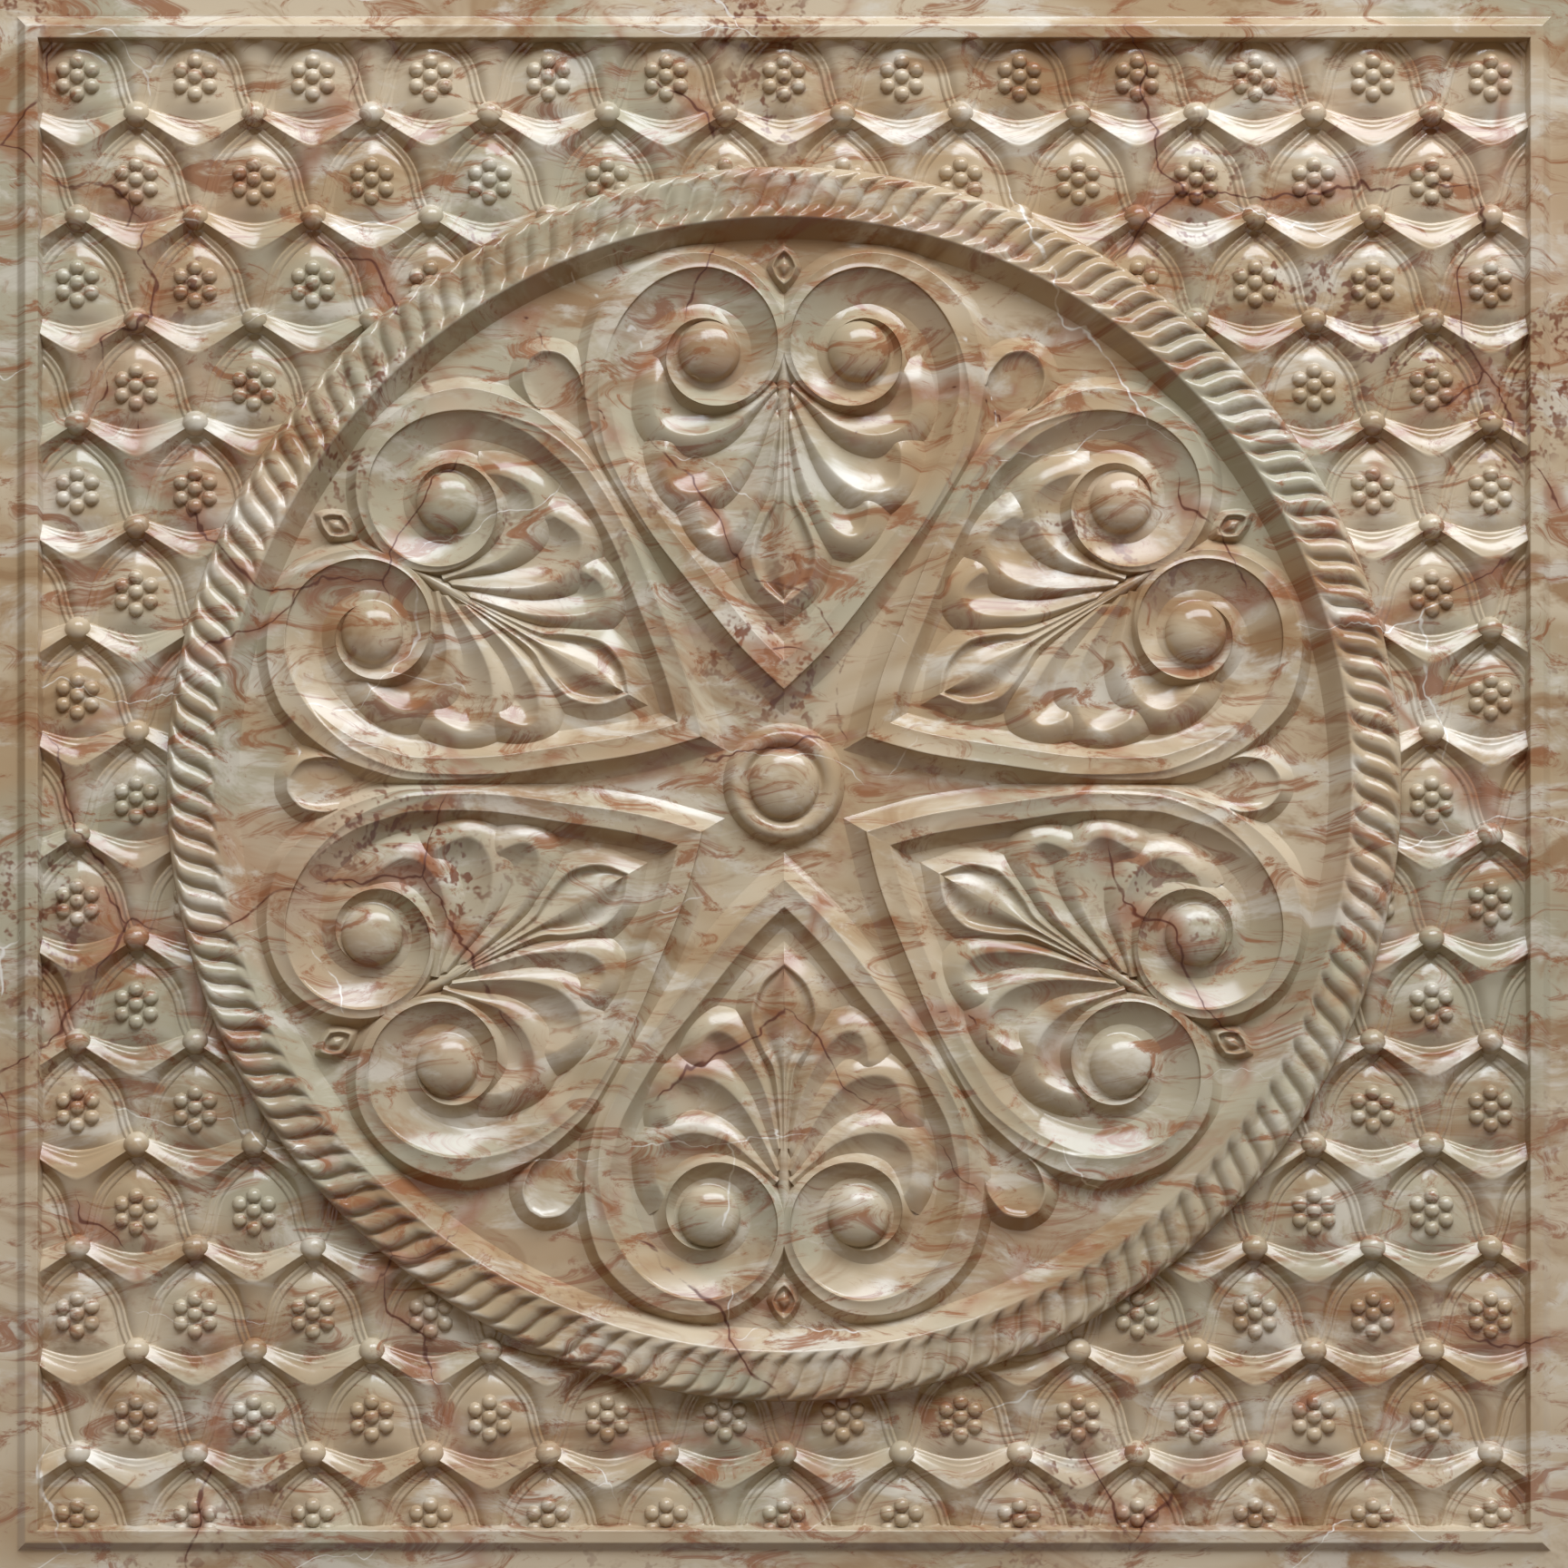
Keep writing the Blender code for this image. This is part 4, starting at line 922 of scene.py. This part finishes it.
def marble_material():
    """Polished beige marble: layered clouds of beige, olive grey and brown, with stains, cracks and veins."""
    material = bpy.data.materials.new("polished marble")
    material.use_nodes = True
    tree = material.node_tree
    shader = tree.nodes["Principled BSDF"]
    place = add_node(tree, "ShaderNodeSeparateXYZ",
                     Vector=add_node(tree, "ShaderNodeTexCoord").outputs["Object"]).outputs
    face = add_node(tree, "ShaderNodeCombineXYZ", X=place["X"], Y=place["Z"]).outputs[0]
    depth = add_node(tree, "ShaderNodeCombineXYZ", X=place["Y"], Y=place["Y"]).outputs[0]
    sheared = add_node(tree, "ShaderNodeVectorMath", operation="MULTIPLY_ADD", _0=depth, _1=(0.55, 0.35, 0),
                       _2=face).outputs[0]
    bands = add_node(tree, "ShaderNodeMapping", Vector=sheared, Scale=(1.0, 2.4, 1.0),
                     Rotation=(0, 0, -0.12)).outputs[0]

    def noise(scale, detail=4.0, roughness=0.55, distortion=0.0, vector=bands):
        return add_node(tree, "ShaderNodeTexNoise", noise_dimensions="2D", Vector=vector, Scale=scale,
                        Detail=detail, Roughness=roughness, Distortion=distortion).outputs[0]

    def between(value, low, high, top=1.0):
        return add_node(tree, "ShaderNodeMapRange", interpolation_type="SMOOTHSTEP", Value=value,
                        From_Min=low, From_Max=high, To_Min=0.0, To_Max=top).outputs[0]

    def number(operation, first, second):
        return add_node(tree, "ShaderNodeMath", operation=operation, _0=first, _1=second).outputs[0]

    def layer(under, over, factor):
        node = tree.nodes.new("ShaderNodeMix")
        node.data_type = "RGBA"
        for socket, value in ((0, factor), (6, under), (7, over)):
            if isinstance(value, bpy.types.NodeSocket):
                tree.links.new(value, node.inputs[socket])
            else:
                node.inputs[socket].default_value = value
        return node.outputs[2]

    def gap_from(group, vector, **values):
        node = tree.nodes.new("ShaderNodeGroup")
        node.node_tree = group
        tree.links.new(vector, node.inputs["Vector"])
        for name, value in values.items():
            node.inputs[name].default_value = value
        return node.outputs["Gap"]

    def line_gap(lines, vector, nearest):
        for points in lines:
            for start, end in zip(points[:-1], points[1:]):
                one = gap_from(STROKE, vector, Start=(start[0] * MM, start[1] * MM, 0),
                               End=(end[0] * MM, end[1] * MM, 0))
                nearest = number("MINIMUM", nearest, one)
        return nearest

    cracked = wandered(tree, wandered(tree, face, 25.0, 0.026), 130.0, 0.005)
    flat = add_node(tree, "ShaderNodeMapping", Vector=cracked, Scale=(1.0, 2.0, 1.0),
                    Rotation=(0, 0, 0.5)).outputs[0]
    white_gap = line_gap(WHITE_VEINS, cracked, gap_from(CRACKS, flat, Scale=6.0, Amount=0.57, Patch=9.0))
    dark_gap = line_gap(DARK_CRACKS, cracked, gap_from(CRACKS, cracked, Scale=8.0, Amount=0.55, Patch=8.0))

    mottle = noise(22.0, 5.0, roughness=0.66, distortion=0.35)
    clouds = between(noise(8.0, 2.0, distortion=0.6), 0.36, 0.62)
    olive = between(noise(5.5, 3.0, vector=sheared, distortion=0.5), 0.46, 0.62, 0.8)
    brown = between(noise(12.0, 5.0, roughness=0.66, distortion=0.6), 0.49, 0.67, 0.9)
    pinkish = between(noise(7.0, 3.0, roughness=0.6, distortion=0.6, vector=sheared), 0.54, 0.70, 0.6)
    creamy = between(mottle, 0.50, 0.68, 0.7)
    rusty = between(noise(34.0, 5.0, roughness=0.76, distortion=0.8), 0.51, 0.66, 0.85)
    patches = between(noise(9.0, 3.0, roughness=0.6, vector=sheared), 0.57, 0.70, 0.85)
    specks = between(noise(150.0, 2.0, roughness=0.8, vector=sheared), 0.52, 0.66)
    speckled = number("MULTIPLY", specks, patches)
    stained = number("MULTIPLY", between(dark_gap, STAIN_REACH, 0.0), between(mottle, 0.40, 0.60, 0.75))
    white = number("MULTIPLY", between(white_gap, VEIN_EDGE, VEIN_CORE), between(mottle, 0.34, 0.56, 0.75))
    dark = number("MULTIPLY", between(dark_gap, CRACK_EDGE, CRACK_CORE), between(mottle, 0.32, 0.50, 0.9))

    colour = layer(DEEP_BEIGE, PALE_BEIGE, clouds)
    for over, factor in (
        (OLIVE_GREY, olive), (BROWN, brown), (PINKISH_BROWN, pinkish), (CREAM, creamy), (RUST, rusty),
        (SPECKLE, speckled), (STAIN, stained), (VEIN_WHITE, white), (CRACK_BROWN, dark),
    ):
        colour = layer(colour, over, factor)
    tree.links.new(colour, shader.inputs["Base Color"])
    clean = number("ADD", between(mottle, 0.3, 0.7, MOTTLE_ROUGHNESS), POLISH_ROUGHNESS)
    rough = number("ADD", clean, number("MULTIPLY", dark, CRACK_ROUGHNESS))
    tree.links.new(rough, shader.inputs["Roughness"])
    shader.inputs["IOR"].default_value = 1.45
    return material


CRACKS = crack_group()
STROKE = stroke_group()
marble = marble_material()

piece("slab", [once(slab())])
piece("swags", [in_field(swag())])
piece("arch_ridges", [in_field(arch_ridges()), in_field(arch_ridges(), -1)])
piece("scales", [in_field(pillow())])
piece("rosettes", [in_field(rosette())])
piece("beads", [in_field(bead())])
piece("rope_ring", [once(rope_ring())])
piece("medallion_ground", [once(ground())])

strap_shape = strap()
leaf_shapes = [lobe(0), lobe(1), lobe(2), tip_leaf()]
boss_shape = volute_boss()
bud_shape = bud()
stalk_shape = stalk()
spur_shape = spur()
nowhere = np.zeros((2, 2))
for number in range(HEARTS):
    turns = heart_turns(number)
    volutes = np.einsum("kij,j->ki", turns, VOLUTE_CENTRE * GROUND_RADIUS)
    upright = heart_turns(number, (1,))
    top = np.einsum("kij,j->ki", upright, np.array([0, BUD_CENTRE * GROUND_RADIUS]))
    piece(f"heart_{number + 1}", [
        *(repeated(shape, turns, nowhere) for shape in (strap_shape, *leaf_shapes)),
        repeated(boss_shape, turns, volutes),
        repeated(bud_shape, upright, top),
        repeated(stalk_shape, upright, nowhere[:1]),
    ])
piece("spurs", [
    repeated(spur_shape, heart_turns(number, (1,), 0.5), nowhere[:1]) for number in range(HEARTS)
])
piece("centre_boss", [once(centre_boss())])


# Floor, light and camera

FLOOR_REACH = 6.0
FLOOR_COLOUR = (0.78, 0.77, 0.75, 1)
FLOOR_ROUGHNESS = 0.9
FILL_COLOUR = (1.0, 0.69, 0.38, 1)
FILL_STRENGTH = 0.15
BACKDROP_COLOUR = (0.80, 0.79, 0.77, 1)
BACKDROP_STRENGTH = 0.8
LENS = 85.0
SENSOR = 36.0
# The width that fills the picture at the margin's depth, a little less than the panel's
SEEN_WIDTH = 598.5 * MM


def floor():
    """A pale matt floor under the panel, which throws no light back on it."""
    material = bpy.data.materials.new("studio floor")
    material.use_nodes = True
    shader = material.node_tree.nodes["Principled BSDF"]
    shader.inputs["Base Color"].default_value = FLOOR_COLOUR
    shader.inputs["Roughness"].default_value = FLOOR_ROUGHNESS
    mesh = bpy.data.meshes.new("studio_floor")
    corners = ((-1, -1), (1, -1), (1, 1), (-1, 1))
    places = [(FLOOR_REACH * x, FLOOR_REACH * y, -PANEL_WIDTH / 2) for x, y in corners]
    mesh.from_pydata(places, [], [(0, 1, 2, 3)])
    mesh.materials.append(material)
    made = bpy.data.objects.new("studio_floor", mesh)
    bpy.context.scene.collection.objects.link(made)
    made.visible_diffuse = False


def soft_light(name, place, size, power, colour):
    """A rectangular light of this width and height in metres, aimed at the middle of the panel's back."""
    light = bpy.data.lights.new(name, "AREA")
    light.shape = "RECTANGLE"
    light.size, light.size_y = size
    light.energy = power
    light.color = colour
    made = bpy.data.objects.new(name, light)
    made.location = place
    made.rotation_euler = (-Vector(place)).to_track_quat("-Z", "Y").to_euler()
    bpy.context.scene.collection.objects.link(made)


def surroundings():
    """A weak warm light from all round, where the camera itself sees a plain pale backdrop."""
    world = bpy.data.worlds.new("studio")
    bpy.context.scene.world = world
    world.use_nodes = True
    tree = world.node_tree
    fill = tree.nodes["Background"]
    fill.inputs["Color"].default_value = FILL_COLOUR
    fill.inputs["Strength"].default_value = FILL_STRENGTH
    backdrop = add_node(tree, "ShaderNodeBackground", Color=BACKDROP_COLOUR, Strength=BACKDROP_STRENGTH)
    from_camera = add_node(tree, "ShaderNodeLightPath").outputs["Is Camera Ray"]
    seen = add_node(tree, "ShaderNodeMixShader", _0=from_camera, _1=fill.outputs[0], _2=backdrop.outputs[0])
    tree.links.new(seen.outputs[0], tree.nodes["World Output"].inputs["Surface"])


floor()
soft_light("overhead softbox", (0.60, -1.62, 2.36), size=(3.3, 1.25), power=131, colour=(0.94, 1.02, 1.12))
soft_light("front fill", (-0.6, -3.2, 0.4), size=(2.5, 2.0), power=5, colour=(1.0, 0.85, 0.65))
soft_light("back fill", (0.6, 2.6, 1.8), size=(2.0, 2.0), power=110, colour=(1.0, 1.0, 1.0))
surroundings()

camera_data = bpy.data.cameras.new("camera")
camera_data.lens = LENS
camera_data.sensor_width = SENSOR
camera = bpy.data.objects.new("camera", camera_data)
camera.location = (0, -MARGIN_DEPTH - SEEN_WIDTH * LENS / SENSOR, 0)
camera.rotation_euler = (math.pi / 2, 0, 0)
bpy.context.scene.collection.objects.link(camera)
bpy.context.scene.camera = camera
bpy.context.scene.view_settings.view_transform = "Standard"
